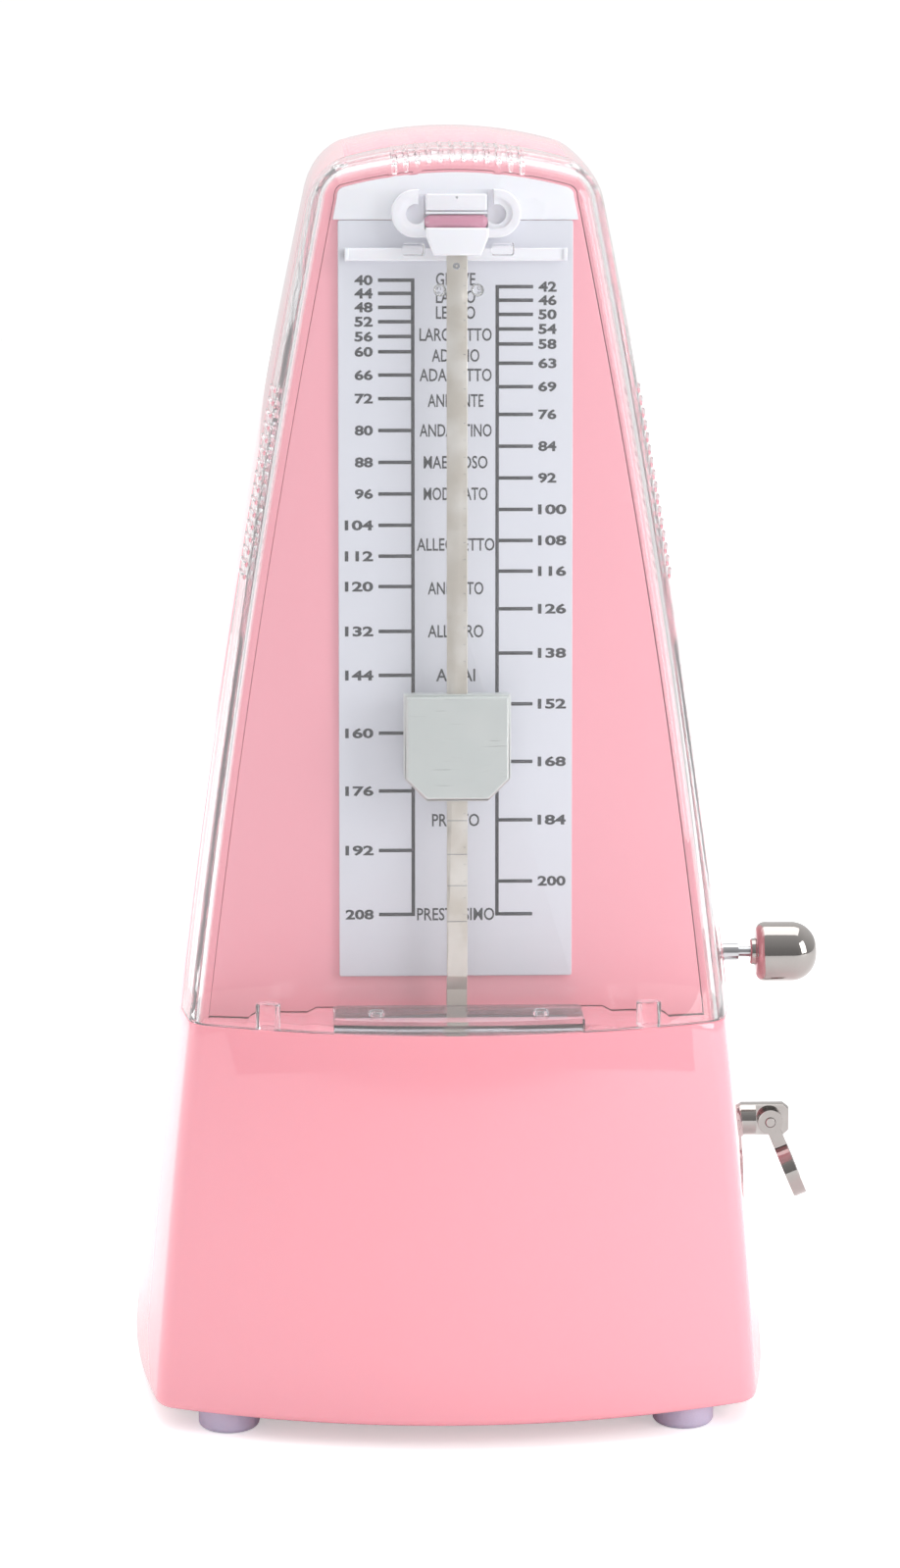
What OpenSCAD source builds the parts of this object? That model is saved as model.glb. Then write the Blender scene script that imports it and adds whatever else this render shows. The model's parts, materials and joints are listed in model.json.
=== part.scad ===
// Wind-up pendulum metronome: a glossy four-sided case with bowed faces, a clear
// front cover, a notched pendulum rod with a sliding weight, a folding winding key
// and a pull knob for the bell.
//
// Sizes are in millimetres. The front faces -Y, the key and knob are on +X, +Z is up.
// The origin is on the table, midway between the four feet, in the pendulum's plane.

/* [Case] */
// Height of the top of the case above the table
case_h = 219; // [208:1:270]
// Width across the front corners at the bottom edge
case_w = 103.6; // [96:0.2:126]
// Depth along the centre line at the bottom edge
case_d = 112; // [106:1:136]
// Width across the front corners at the shoulder
shoulder_w = 48.4; // [46:0.2:60]
// Depth along the centre line at the shoulder
shoulder_d = 51; // [49:1:60]
// How far the shoulder lies below the top
shoulder_drop = 8; // [6:0.5:12]
// Outward bow of each flank at half height
flank_bow = 3.2; // [1:0.2:5]
// Radius of the front and back faces, seen from above
front_r = 125; // [110:5:200]
// Radius of the side faces, seen from above
side_r = 225; // [180:5:400]
// Radius of the four upright corners
corner_r = 5; // [4:0.5:8]
// Radius of the arched top, seen from the front
arch_r = 72; // [60:1:110]
// Rounding along the top edges
top_edge_r = 5; // [4:0.5:6]
// Rounding along the bottom edge
bottom_edge_r = 1.4; // [0.5:0.1:2]
// Wall of the moulded case
wall = 2.2; // [1.8:0.1:3]
// Height of the ledge under the front cover
ledge_z = 71.4; // [68:0.2:78]
// Distance of the cover's seam in front of the centre line, at the ledge
seam_front = 29.3; // [27:0.1:31]
// Backward lean of the seam, the scale and the pendulum rod, in degrees
lean = 7.2; // [6:0.1:8]

/* [Base] */
// Height of the feet under the case's bottom edge
foot_h = 4; // [3:0.5:6]
// Radius of a foot
foot_r = 5.3; // [4.5:0.1:5.8]
// Distance of the feet in from the case's width at the bottom edge
foot_in_x = 12.3; // [11.5:0.1:17]
// Distance of the feet in from the case's depth at the bottom edge
foot_in_y = 14; // [13.6:0.1:18]
// Thickness of the base plate
base_t = 2; // [1.6:0.1:2.4]
// Gap between the base plate and the case wall
base_gap = 0.3; // [0.2:0.1:0.6]
// Radius of the screw posts in the corners
post_r = 4; // [3.4:0.1:4.4]

/* [Front panel and scale] */
// Distance from the case flank to the edge of the front panel
panel_inset = 4.6; // [4.2:0.1:5.4]
// Thickness of the case rim around the front panel
rim_t = 2.6; // [2.2:0.1:3]
// Gap between the front panel and its rim
panel_gap = 0.15; // [0.1:0.05:0.3]
// Width of the scale plate
scale_w = 40; // [34:0.5:41]
// Length of the scale plate
scale_len = 129.8; // [118:0.2:130]
// Height of the scale plate's lower edge above the ledge, along the panel
scale_foot = 5.6; // [4.5:0.1:7]
// Thickness of the scale plate
scale_t = 1; // [0.8:0.1:1.4]
// Place of the slowest tempo mark above the ledge, along the panel
slow_mark = 125.4; // [118:0.1:126]
// Place of the fastest tempo mark above the ledge, along the panel
fast_mark = 15.6; // [14:0.1:20]
// Half width of the rod's slot in the ledge
slot_half_w = 21.3; // [19:0.1:23]
// Front edge of the rod's slot, in front of the seam
slot_depth = 12.3; // [11:0.1:13]

/* [Front cover] */
// Wall of the clear cover
cover_wall = 1.8; // [1.5:0.1:2.2]
// Gap between the cover and the case, all along the seam
cover_gap = 0.2; // [0.15:0.05:0.4]
// Radius of the two small pegs that guard the rod
peg_r = 1.1; // [0.8:0.1:1.4]
// Distance of the pegs from the rod's centre line
peg_x = 3.15; // [2.8:0.05:4]
// Height of the pegs above the ledge, along the panel
peg_v = 123.6; // [118:0.2:126]
// Radius of the two posts that stand on the ledge
cover_post_r = 2.1; // [1.8:0.1:2.6]
// Distance of those posts from the centre line
cover_post_x = 32.4; // [28:0.2:35]

/* [Pendulum] */
// Width of the pendulum rod
rod_w = 3.5; // [3:0.1:4.5]
// Thickness of the pendulum rod
rod_t = 0.8; // [0.6:0.1:1]
// Distance of the rod's back face in front of the panel
rod_off = 6; // [5.8:0.1:6.4]
// Height of the pendulum's pivot above the table
pivot_z = 50; // [49:0.2:51]
// Top end of the rod above the ledge, along the panel
rod_top = 131.8; // [126:0.2:132]
// Place of the bend in the rod above the ledge
rod_bend = 6.2; // [5:0.1:8]
// Depth of a tempo notch in the rod's edges
notch_depth = 0.25; // [0.15:0.05:0.35]
// Radius of the pendulum's arbor
verge_r = 1.5; // [1.2:0.1:1.6]
// Running clearance of every arbor, pin and slide, on the radius
run_gap = 0.05; // [0.03:0.01:0.08]
// Seat gap of wheels and hubs on their own arbors, on the radius
seat_gap = 0.02; // [0.01:0.01:0.03]
// Radius of the lower bob
bob_r = 10; // [8:0.5:11]
// Thickness of the lower bob
bob_t = 13; // [9:0.5:14]
// Distance of the bob's centre below the pivot
bob_drop = 28; // [26:0.5:29]

/* [Tempo weight] */
// Width of the sliding weight
weight_w = 18.2; // [15:0.1:20]
// Height of the sliding weight
weight_h = 18.3; // [15:0.1:20]
// Cut corners at the foot of the weight
weight_cut = 3.9; // [2:0.1:5]
// Thickness of the weight in front of the rod
weight_front = 2.6; // [2:0.1:2.8]
// Thickness of the weight behind the rod
weight_back = 1.6; // [1.2:0.1:2]
// Place of the weight's top edge above the ledge
weight_at = 55; // [40:0.5:110]

/* [Movement] */
// Inner face of the left frame plate
left_x = -32.5; // [-34:0.1:-32]
// Inner face of the right frame plate
right_x = 22; // [21.5:0.1:24]
// Thickness of the frame plates
plate_t = 1.5; // [1.2:0.1:1.8]
// Height of the winding arbor above the table
wind_z = 39; // [38:0.2:40]
// Distance of the winding arbor behind the centre line
wind_y = 10; // [9:0.2:11]
// Distance of the escape arbor in front of the centre line
escape_y = -8; // [-9:0.2:-7]
// Teeth of the great wheel
great_teeth = 60; // [54:2:64]
// Teeth of the pinion on the second arbor
second_pinion_teeth = 10; // [9:1:12]
// Size of the great wheel's teeth
great_mod = 0.6; // [0.56:0.01:0.62]
// Teeth of the wheel on the second arbor
second_teeth = 48; // [44:1:50]
// Teeth of the pinion on the escape arbor
escape_pinion_teeth = 10; // [9:1:12]
// Size of the second wheel's teeth
second_mod = 0.5; // [0.46:0.01:0.52]
// Teeth of the crown wheel
crown_teeth = 18; // [12:6:18]
// Radius of the crown wheel
crown_r = 9; // [8:0.2:9.4]
// Radius of the mainspring barrel
barrel_r = 16.6; // [15:0.1:16.8]
// Turns of the mainspring
spring_turns = 8; // [5:1:9]
// Thickness of the mainspring's strip
spring_t = 0.4; // [0.3:0.05:0.5]

/* [Bell] */
// Radius of the bell
bell_r = 16; // [12:0.5:16.5]
// Length of the bell
bell_len = 20; // [17:0.5:21]
// Wall of the bell
bell_t = 1.2; // [1:0.1:1.5]
// Distance between two beat cams, and between two stops of the knob
cam_pitch = 2.5; // [2.3:0.1:2.5]
// Thickness of a beat cam
cam_t = 1.5; // [1.2:0.1:1.6]
// Radius of a beat cam
cam_r = 7; // [6:0.1:7]

/* [Key and knob] */
// Radius of the key's shaft
key_r = 3.05; // [2.8:0.05:3.3]
// How far the key shaft stands out of the case
key_reach = 9.7; // [9.2:0.1:13]
// Distance of the wing's pivot from the shaft's end
key_pivot_back = 3.5; // [3:0.1:4]
// Length of the key's folding wing
wing_len = 15.2; // [14:0.1:20]
// Width of the key's folding wing
wing_w = 12.6; // [12:0.1:16]
// Thickness of the wing
wing_t = 2.4; // [2:0.1:2.8]
// Angle of the wing below the shaft's line, in degrees
wing_hang = 67; // [60:1:80]
// Radius of the pull knob
knob_r = 5.3; // [4.5:0.1:6]
// Length of the pull knob
knob_len = 11.9; // [10:0.1:14]
// Gap between the case and the pull knob
knob_reach = 4.7; // [4:0.1:7]
// Height of the knob above the ledge
knob_rise = 3.1; // [3:0.1:4]
// Distance of the knob in front of the centre line
knob_y = -5; // [-7:0.2:-3]

/* [Hidden] */

$fn = 64;
eps = 0.01;
big = 2 * case_h;

shoulder_z = case_h - shoulder_drop;
floor_z = foot_h + 0.4;
deck_z = floor_z + base_t;
knob_z = ledge_z + knob_rise;
foot_x = case_w / 2 - foot_in_x;
foot_y = case_d / 2 - foot_in_y;

// ---------- the case's outer form ----------

function mix(a, b, t) = a + (b - a) * t;
function rise(z) = (z - foot_h) / (shoulder_z - foot_h);
function bowed(low, high, t) = mix(low, high, t) + 4 * flank_bow * t * (1 - t);
function half_w(z) = bowed(case_w / 2, shoulder_w / 2, rise(z));
function half_d(z) = bowed(case_d / 2, shoulder_d / 2, rise(z));
function corner_y(z) = half_d(z) - pow(half_w(z), 2) / (2 * front_r);
function side_x(z) = half_w(z) + pow(corner_y(z), 2) / (2 * side_r);
function arch_z(x) = case_h - arch_r + sqrt(pow(arch_r, 2) - x * x);
// y of the seam plane at a height
function seam_y(z) = -seam_front + (z - ledge_z) * tan(lean);

front_steps = 5;
corner_steps = 4;
side_steps = 4;
level_steps = 8;
edge_steps = 3;

// Centre of the fillet between the front arc and the side arc
function fillet_mid(fc, sc, rf, rs) =
    let (d = norm(sc - fc))
    let (u = (sc - fc) / d)
    let (a = (rf * rf - rs * rs + d * d) / (2 * d))
    let (h = sqrt(rf * rf - a * a))
    fc + a * u + h * [-u[1], u[0]] * (u[1] > 0 ? -1 : 1);

// Quarter of the outline at a height, from the front's middle to the side's middle
function quarter(z, inset) =
    let (r = max(corner_r - inset, 1))
    let (fc = [0, front_r - half_d(z)])
    let (sc = [side_x(z) - side_r, 0])
    let (rf = front_r - inset)
    let (rs = side_r - inset)
    let (m0 = fillet_mid(fc, sc, rf - r, rs - r))
    let (mid = [abs(m0[0]), -abs(m0[1])])
    let (af = atan2(mid[1] - fc[1], mid[0] - fc[0]))
    let (as = atan2(mid[1] - sc[1], mid[0] - sc[0]))
    concat(
        [for (k = [0:front_steps - 1])
            let (a = mix(-90, af, k / front_steps)) fc + rf * [cos(a), sin(a)]],
        [for (k = [0:corner_steps])
            let (a = mix(af, as, k / corner_steps)) mid + r * [cos(a), sin(a)]],
        [for (k = [1:side_steps])
            let (a = mix(as, 0, k / side_steps)) sc + rs * [cos(a), sin(a)]]);

quarter_n = front_steps + corner_steps + side_steps;
ring_n = 4 * quarter_n;

// Point k of the outline at a height: the quarter, mirrored three times
function ring_pt(z, inset, k) =
    let (q = k <= quarter_n ? k
           : k <= 2 * quarter_n ? 2 * quarter_n - k
           : k <= 3 * quarter_n ? k - 2 * quarter_n
           : ring_n - k)
    let (p = quarter(z, inset)[q])
    [p[0] * (k > 2 * quarter_n ? -1 : 1),
     p[1] * (k > quarter_n && k < 3 * quarter_n ? -1 : 1)];
function outline(z, inset) = [for (k = [0:ring_n - 1]) ring_pt(z, inset, k)];

// One ring of the form. s is the share of the height up to the top rounding, and
// turn is the angle round that rounding; every ring follows the arched top.
function level_z(x, s, turn, inset, z0) =
    let (r = max(top_edge_r - inset, 1))
    let (top = arch_z(x) - inset - r)
    mix(z0, top, s) + r * sin(turn);
function form_pt(s, turn, inset, z0, k) =
    let (r = max(top_edge_r - inset, 1))
    let (i = inset + r * (1 - cos(turn)))
    let (z1 = level_z(0, s, turn, inset, z0))
    let (p1 = ring_pt(z1, i, k))
    let (z2 = level_z(p1[0], s, turn, inset, z0))
    let (p2 = ring_pt(z2, i, k))
    [p2[0], p2[1], level_z(p2[0], s, turn, inset, z0)];

// Solid of the case's form, drawn in by inset and starting at z0
module form(inset = 0, z0 = foot_h, foot_round = 0) {
    up_rings = [for (j = [0:level_steps]) [j / level_steps, 0]];
    edge_rings = [for (j = [1:edge_steps]) [1, 90 * j / edge_steps]];
    rings = concat(up_rings, edge_rings);
    foot = foot_round > 0
        ? [for (k = [0:ring_n - 1])
            let (p = ring_pt(z0, inset + foot_round, k)) [p[0], p[1], z0]]
        : [];
    lift = foot_round > 0 ? z0 + foot_round : z0;
    body = [for (r = rings, k = [0:ring_n - 1]) form_pt(r[0], r[1], inset, lift, k)];
    pts = concat(foot, body);
    n_rings = len(rings) + (foot_round > 0 ? 1 : 0);
    last = (n_rings - 1) * ring_n;
    h = 2 * quarter_n;
    sides = [for (j = [0:n_rings - 2], k = [0:ring_n - 1], half = [0, 1])
        let (a = j * ring_n)
        let (b = a + ring_n)
        let (m = (k + 1) % ring_n)
        half == 0 ? [a + k, b + k, b + m] : [a + k, b + m, a + m]];
    right_cap = [for (k = [0:quarter_n - 1], half = [0, 1])
        if (half == 0 || k < quarter_n - 1)
            half == 0
                ? [last + k, last + h - k, last + k + 1]
                : [last + k + 1, last + h - k, last + h - k - 1]];
    left_cap = [for (k = [0:quarter_n - 1], half = [0, 1])
        let (f0 = last + (ring_n - k) % ring_n)
        let (f1 = last + ring_n - k - 1)
        if (half == 0 || k < quarter_n - 1)
            half == 0
                ? [f0, f1, last + h + k]
                : [f1, last + h + k + 1, last + h + k]];
    bottom = [[for (k = [0:ring_n - 1]) k]];
    polyhedron(points = pts, faces = concat(bottom, sides, right_cap, left_cap),
               convexity = 4);
}

key_end_x = side_x(wind_z) + key_reach;
key_pivot_x = key_end_x - key_pivot_back;
knob_x = side_x(knob_z) + knob_reach;

// ---------- helpers ----------

// Places children drawn in the YZ plane, standing along +X from x
module along_x(x, y = 0, z = 0)
    translate([x, y, z]) rotate([90, 0, 90]) children();
// Places children so that they stand along +Y from y
module along_y(x, y, z)
    translate([x, y, z]) rotate([-90, 0, 0]) children();
// Places children on the seam plane: x across, y up the lean, z outwards
module on_panel()
    translate([0, -seam_front, ledge_z]) rotate([90 - lean, 0, 0]) children();
// Space in front of the seam and above the ledge, grown backwards and downwards
module front_space(back = 0, down = 0)
    along_x(-big / 2)
        linear_extrude(big)
            polygon([[-big, ledge_z - down],
                     [-seam_front + back / cos(lean) - down * tan(lean), ledge_z - down],
                     [seam_y(big) + back / cos(lean), big],
                     [-big, big]]);
// Slab between two distances from the seam plane, above a place on the panel
module panel_slab(n0, n1, v0 = 0)
    on_panel() translate([-big / 2, v0, n0]) cube([big, big, n1 - n0]);
module rounded_box_2d(w, h, r) {
    for (sx = [-1, 1])
        for (sy = [-1, 1])
            translate([sx * (w / 2 - r), sy * (h / 2 - r)]) circle(r = r);
    square([w - 2 * r, h], center = true);
    square([w, h - 2 * r], center = true);
}
module at_corners(x, y)
    for (sx = [-1, 1])
        for (sy = [-1, 1])
            translate([sx * x, sy * y, 0]) children();

// ---------- case ----------

post_in_x = 5.7;
post_in_y = 20;
base_post_x = case_w / 2 - post_in_x;
base_post_y = case_d / 2 - post_in_y;
post_top = 26;
screw_r = 1.3;
screw_head_r = 2.6;
screw_head_h = 1.4;
bush_wall = 0.95;
key_hole_r = key_r + bush_wall;

module slot_cut()
    translate([-slot_half_w, -seam_front - slot_depth, ledge_z - wall - 1])
        cube([2 * slot_half_w, slot_depth - 1.2, wall + 2]);

module housing()
    color([1, 0.71, 0.76]) {
        difference() {
            union() {
                difference() {
                    form(0, foot_h, bottom_edge_r);
                    front_space();
                    difference() {
                        form(wall, foot_h - 1);
                        front_space(rim_t, wall);
                    }
                    intersection() {
                        form(panel_inset - panel_gap, foot_h);
                        panel_slab(-rim_t - 1, 1);
                    }
                }
                at_corners(base_post_x, base_post_y)
                    translate([0, 0, deck_z])
                        cylinder(h = post_top - deck_z, r = post_r);
            }
            at_corners(base_post_x, base_post_y)
                translate([0, 0, deck_z - eps])
                    cylinder(h = 12, r = screw_r + seat_gap);
            slot_cut();
            along_x(side_x(wind_z) / 2, wind_y, wind_z) cylinder(h = big, r = key_hole_r);
            along_x(side_x(knob_z) / 2, knob_y, knob_z) cylinder(h = big, r = knob_hole_r);
        }
    }

// ---------- base ----------

module base_plate()
    color([0.95, 0.66, 0.72])
        difference() {
            translate([0, 0, floor_z])
                linear_extrude(base_t) polygon(outline(floor_z, wall + base_gap + 0.2));
            at_corners(base_post_x, base_post_y) {
                translate([0, 0, floor_z - 1])
                    cylinder(h = base_t + 2, r = screw_r + run_gap);
            }
            at_corners(foot_x, foot_y)
                translate([0, 0, floor_z - 1])
                    cylinder(h = base_t + 2, r = foot_peg_r + seat_gap);
            frame_screw_places()
                translate([0, 0, deck_z - 1.6])
                    cylinder(h = 2, r = frame_screw_r + seat_gap);
        }

foot_peg_r = 2;
foot_round = 1;

module feet()
    color([0.86, 0.84, 0.93])
        at_corners(foot_x, foot_y) {
            rotate_extrude() {
                difference() {
                    union() {
                        square([foot_r - foot_round, floor_z]);
                        translate([0, foot_round])
                            square([foot_r, foot_h - foot_round - run_gap]);
                        translate([foot_r - foot_round, foot_round])
                            circle(r = foot_round);
                    }
                    translate([-foot_r, -eps]) square([foot_r, floor_z + 1]);
                }
            }
            translate([0, 0, floor_z]) cylinder(h = base_t, r = foot_peg_r);
        }

module pan_screw(head_r, head_h, shank_r, shank_len)
    difference() {
        union() {
            translate([0, 0, -head_h]) cylinder(h = head_h, r = head_r);
            cylinder(h = shank_len, r = shank_r);
        }
        translate([-head_r / 2, -0.25, -head_h - eps]) cube([head_r, 0.5, 0.6]);
        translate([-0.25, -head_r / 2, -head_h - eps]) cube([0.5, head_r, 0.6]);
    }

module base_screws()
    color([0.75, 0.75, 0.78])
        at_corners(base_post_x, base_post_y)
            translate([0, 0, floor_z])
                pan_screw(screw_head_r, screw_head_h, screw_r, base_t + 9);

// ---------- front panel and what it carries ----------

flange_t = 1.2;
flange_gap = 0.4;

// Panel with a flange behind the case's rim, where it is glued
module front_panel()
    color([0.96, 0.62, 0.68]) {
        intersection() {
            form(panel_inset, foot_h);
            panel_slab(-rim_t - flange_t, 0, panel_gap);
        }
        intersection() {
            form(wall + flange_gap, foot_h);
            panel_slab(-rim_t - flange_t, -rim_t - seat_gap, panel_gap);
        }
    }

module scale_plate()
    color([0.87, 0.87, 0.91])
        on_panel()
            translate([-scale_w / 2, scale_foot, 0])
                cube([scale_w, scale_len, scale_t]);

scale_top = scale_foot + scale_len;
boss_v = scale_top + 1.1;
boss_half_w = 11;
boss_half_h = 4.1;
boss_t = 3;
bar_v = scale_top - 6.9;
bar_h = 2.2;
bar_half_w = scale_w / 2 - 1.1;
web_t = 0.6;
tongue_half_w = 5.2;
finger_hole_x = 6.5;
finger_hole_r = 1.7;
channel_half_w = 5.6;
channel_v = boss_v - 2.8;

module stadium(half_w_, half_h_, t)
    linear_extrude(t) {
        square([2 * (half_w_ - half_h_), 2 * half_h_], center = true);
        for (sx = [-1, 1])
            translate([sx * (half_w_ - half_h_), 0]) circle(r = half_h_);
    }

module top_bracket()
    color([0.9, 0.9, 0.94])
        difference() {
            union() {
                intersection() {
                    form(panel_inset + 0.5, foot_h);
                    panel_slab(0, scale_t, scale_top + 0.1);
                }
                on_panel() {
                    translate([-bar_half_w, bar_v, scale_t])
                        cube([2 * bar_half_w, scale_top - bar_v + 1.5, web_t]);
                    translate([-bar_half_w, bar_v, scale_t])
                        cube([2 * bar_half_w, bar_h, 2.2]);
                    translate([0, boss_v, scale_t])
                        stadium(boss_half_w, boss_half_h, boss_t);
                }
            }
            on_panel() {
                translate([-channel_half_w, channel_v, scale_t + web_t])
                    cube([2 * channel_half_w, 20, boss_t]);
                for (sx = [-1, 1])
                    translate([sx * finger_hole_x, boss_v, scale_t + web_t])
                        cylinder(h = boss_t, r = finger_hole_r);
            }
        }

clip_gap = 0.5;
clip_t = 1.2;
clip_v = bar_v + 0.9;
clip_top_v = rod_top + 0.7;
clip_half_top = 5.3;
clip_half_foot = 4;

module rod_clip()
    color([0.92, 0.92, 0.95])
        on_panel() {
            boss_face = scale_t + boss_t;
            tongue_n = scale_t + web_t;
            tongue_t = boss_t - web_t + 0.2;
            hook_n = rod_off + rod_t + clip_gap;
            difference() {
                translate([-tongue_half_w, channel_v + 0.1, tongue_n])
                    cube([2 * tongue_half_w, 2 * boss_half_h - 2.2, tongue_t]);
                for (k = [0:2])
                    translate([-big / 2, channel_v + 0.7 + 1.1 * k, tongue_n + tongue_t])
                        rotate([0, 90, 0]) cylinder(h = big, r = 0.35);
            }
            translate([-clip_half_foot + 0.2, clip_top_v, boss_face + seat_gap])
                cube([2 * clip_half_foot - 0.4, 1.6, hook_n + clip_t - boss_face - seat_gap]);
            translate([0, 0, hook_n])
                linear_extrude(clip_t)
                    polygon([[-clip_half_top, clip_top_v + 1.6],
                             [clip_half_top, clip_top_v + 1.6],
                             [clip_half_top, clip_top_v],
                             [clip_half_foot, clip_v],
                             [-clip_half_foot, clip_v],
                             [-clip_half_top, clip_top_v]]);
        }

// ---------- front cover ----------

cover_foot_z = ledge_z + cover_gap;
weight_face = rod_off + rod_t + run_gap + weight_front;
peg_clear = 0.4;
lug_x0 = 5.6;
lug_x1 = 9.4;
lug_v = bar_v + 1.9;
lug_h = 2.2;
bar_over_y0 = -seam_front - slot_depth + 0.4;
bar_over_y1 = -seam_front - 6.1;
bar_over_h = 2;
rib_n = 12;
rib_pitch = 1.95;
rib_r = 0.5;
rib_sunk = 0.15;
rib_back = 0.8;
side_rib_n = 16;
side_rib_pitch = 2.1;
side_rib_v = 76;

module front_cover()
    color([0.93, 0.95, 0.97, 0.35]) {
        difference() {
            form(0, foot_h);
            form(cover_wall, foot_h - 1);
            cover_cut();
        }
        cover_ribs();
        intersection() {
            form(cover_wall / 2, foot_h);
            union() {
                on_panel() {
                    for (sx = [-1, 1]) {
                        translate([sx * peg_x, peg_v, weight_face + peg_clear])
                            cylinder(h = 12, r = peg_r);
                        translate([sx > 0 ? lug_x0 : -lug_x1, lug_v - lug_h / 2, 5])
                            cube([lug_x1 - lug_x0, lug_h, 20]);
                    }
                }
                translate([-slot_half_w, bar_over_y0 - 10, cover_foot_z + eps])
                    cube([2 * slot_half_w, 10 + bar_over_y1 - bar_over_y0, bar_over_h]);
                for (sx = [-1, 1])
                    translate([sx * cover_post_x, -corner_y(ledge_z) - 0.6, cover_foot_z + eps])
                        cylinder(h = 4, r = cover_post_r);
            }
        }
    }

// Rounded grip ribs, across the cover's top edge and down both of its sides
module cover_ribs() {
    for (k = [0:rib_n - 1]) {
        x = (k - (rib_n - 1) / 2) * rib_pitch;
        z = arch_z(x) - rib_sunk;
        y0 = -half_d(z) + top_edge_r - 0.5;
        along_y(x, y0, z) cylinder(h = seam_y(z) - rib_back - y0, r = rib_r);
    }
    for (k = [0:side_rib_n - 1]) {
        z = ledge_z + (side_rib_v + k * side_rib_pitch) * cos(lean);
        y0 = -corner_y(z) + corner_r;
        y1 = seam_y(z) - rib_back;
        y = (y0 + y1) / 2;
        x = side_x(z) - pow(y, 2) / (2 * side_r) - rib_sunk;
        for (side = [0, 1])
            mirror([side, 0, 0])
                translate([x, y, z])
                    rotate([90, 0, atan(y / side_r)])
                        cylinder(h = y1 - y0, r = rib_r, center = true);
    }
}

// Everything that isn't in front of the seam and above the ledge
module cover_cut() {
    translate([-big / 2, -big / 2, -big + cover_foot_z]) cube([big, big, big]);
    along_x(-big / 2)
        linear_extrude(big)
            polygon([[seam_y(0) - cover_gap / cos(lean), 0],
                     [seam_y(big) - cover_gap / cos(lean), big],
                     [big, big],
                     [big, 0]]);
}

// ---------- pendulum ----------

// The rod leans with the panel above its bend and hangs upright below it
rod_n = rod_off + rod_t / 2;
bend_y = -seam_front + rod_bend * sin(lean) - rod_n * cos(lean);
bend_z = ledge_z + rod_bend * cos(lean) + rod_n * sin(lean);
joggle_z = bend_z - 2.4;
rod_y = bend_y + 0.9;
rod_foot_z = pivot_z - bob_drop - bob_r + 2;
bob_y0 = rod_y - bob_t / 2;
notch_n = 39;
hub_r = 4;
hub_t = 2.4;

module pendulum_rod()
    color([0.68, 0.65, 0.6])
        difference() {
            union() {
                on_panel()
                    translate([-rod_w / 2, rod_bend, rod_off])
                        cube([rod_w, rod_top - rod_bend, rod_t]);
                along_x(-rod_w / 2)
                    linear_extrude(rod_w)
                        polygon([[bend_y - rod_t / 2 * cos(lean), bend_z + rod_t / 2 * sin(lean)],
                                 [bend_y + rod_t / 2 * cos(lean), bend_z - rod_t / 2 * sin(lean)],
                                 [rod_y + rod_t / 2, joggle_z],
                                 [rod_y + rod_t / 2, rod_foot_z],
                                 [rod_y - rod_t / 2, rod_foot_z],
                                 [rod_y - rod_t / 2, joggle_z]]);
            }
            on_panel()
                for (k = [0:notch_n - 1])
                    for (sx = [-1, 1])
                        translate([sx * rod_w / 2,
                                   mix(fast_mark, slow_mark, k / (notch_n - 1)) - weight_h / 2,
                                   rod_off - 1])
                            rotate([0, 0, 45])
                                translate([-notch_depth, -notch_depth, 0])
                                    cube([2 * notch_depth, 2 * notch_depth, rod_t + 2]);
            along_y(0, rod_y - rod_t, pivot_z) cylinder(h = 2 * rod_t, r = verge_r + seat_gap);
        }

module rod_hub()
    color([0.78, 0.66, 0.38])
        difference() {
            along_y(0, rod_y + rod_t / 2, pivot_z) cylinder(h = hub_t, r = hub_r);
            along_y(0, rod_y, pivot_z) cylinder(h = 10, r = verge_r + seat_gap);
        }

module pendulum_bob()
    color([0.45, 0.46, 0.48])
        difference() {
            along_y(0, bob_y0, pivot_z - bob_drop) cylinder(h = bob_t, r = bob_r);
            translate([-rod_w / 2 - seat_gap, rod_y - rod_t / 2 - seat_gap, 0])
                cube([rod_w + 2 * seat_gap, rod_t + 2 * seat_gap, pivot_z]);
        }

strap_y = -26.8;
strap_t = 1.5;
verge_back_y = 6;
bearing_tab_t = 1.5;
bearing_tab_y = 4;
pallet_len = 3;
pallet_w = 2.4;
pallet_t = 0.8;
pallet_set = 50;

module verge_arbor()
    color([0.72, 0.73, 0.75])
        along_y(0, rod_y - rod_t / 2 - 0.6, pivot_z)
            cylinder(h = verge_back_y - rod_y + rod_t / 2 + 0.6, r = verge_r);

// Two vanes on the arbor, one for each side of the crown wheel's rim
module pallets()
    color([0.62, 0.63, 0.66])
        for (s = [-1, 1])
            translate([0, escape_y + s * (crown_r - 1), pivot_z])
                difference() {
                    union() {
                        along_y(0, -pallet_w / 2, 0) cylinder(h = pallet_w, r = verge_r + 0.8);
                        rotate([0, s * pallet_set, 0])
                            translate([-pallet_len, -pallet_w / 2, -pallet_t / 2])
                                cube([pallet_len, pallet_w, pallet_t]);
                    }
                    along_y(0, -pallet_w, 0) cylinder(h = 2 * pallet_w, r = verge_r + seat_gap);
                }

// ---------- tempo weight ----------

weight_n0 = rod_off - run_gap - weight_back;
weight_edge = 0.8;

module weight_outline(inset)
    polygon([[-weight_w / 2 + inset, weight_at - inset],
             [weight_w / 2 - inset, weight_at - inset],
             [weight_w / 2 - inset, weight_at - weight_h + weight_cut],
             [weight_w / 2 - weight_cut, weight_at - weight_h + inset],
             [-weight_w / 2 + weight_cut, weight_at - weight_h + inset],
             [-weight_w / 2 + inset, weight_at - weight_h + weight_cut]]);

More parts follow.
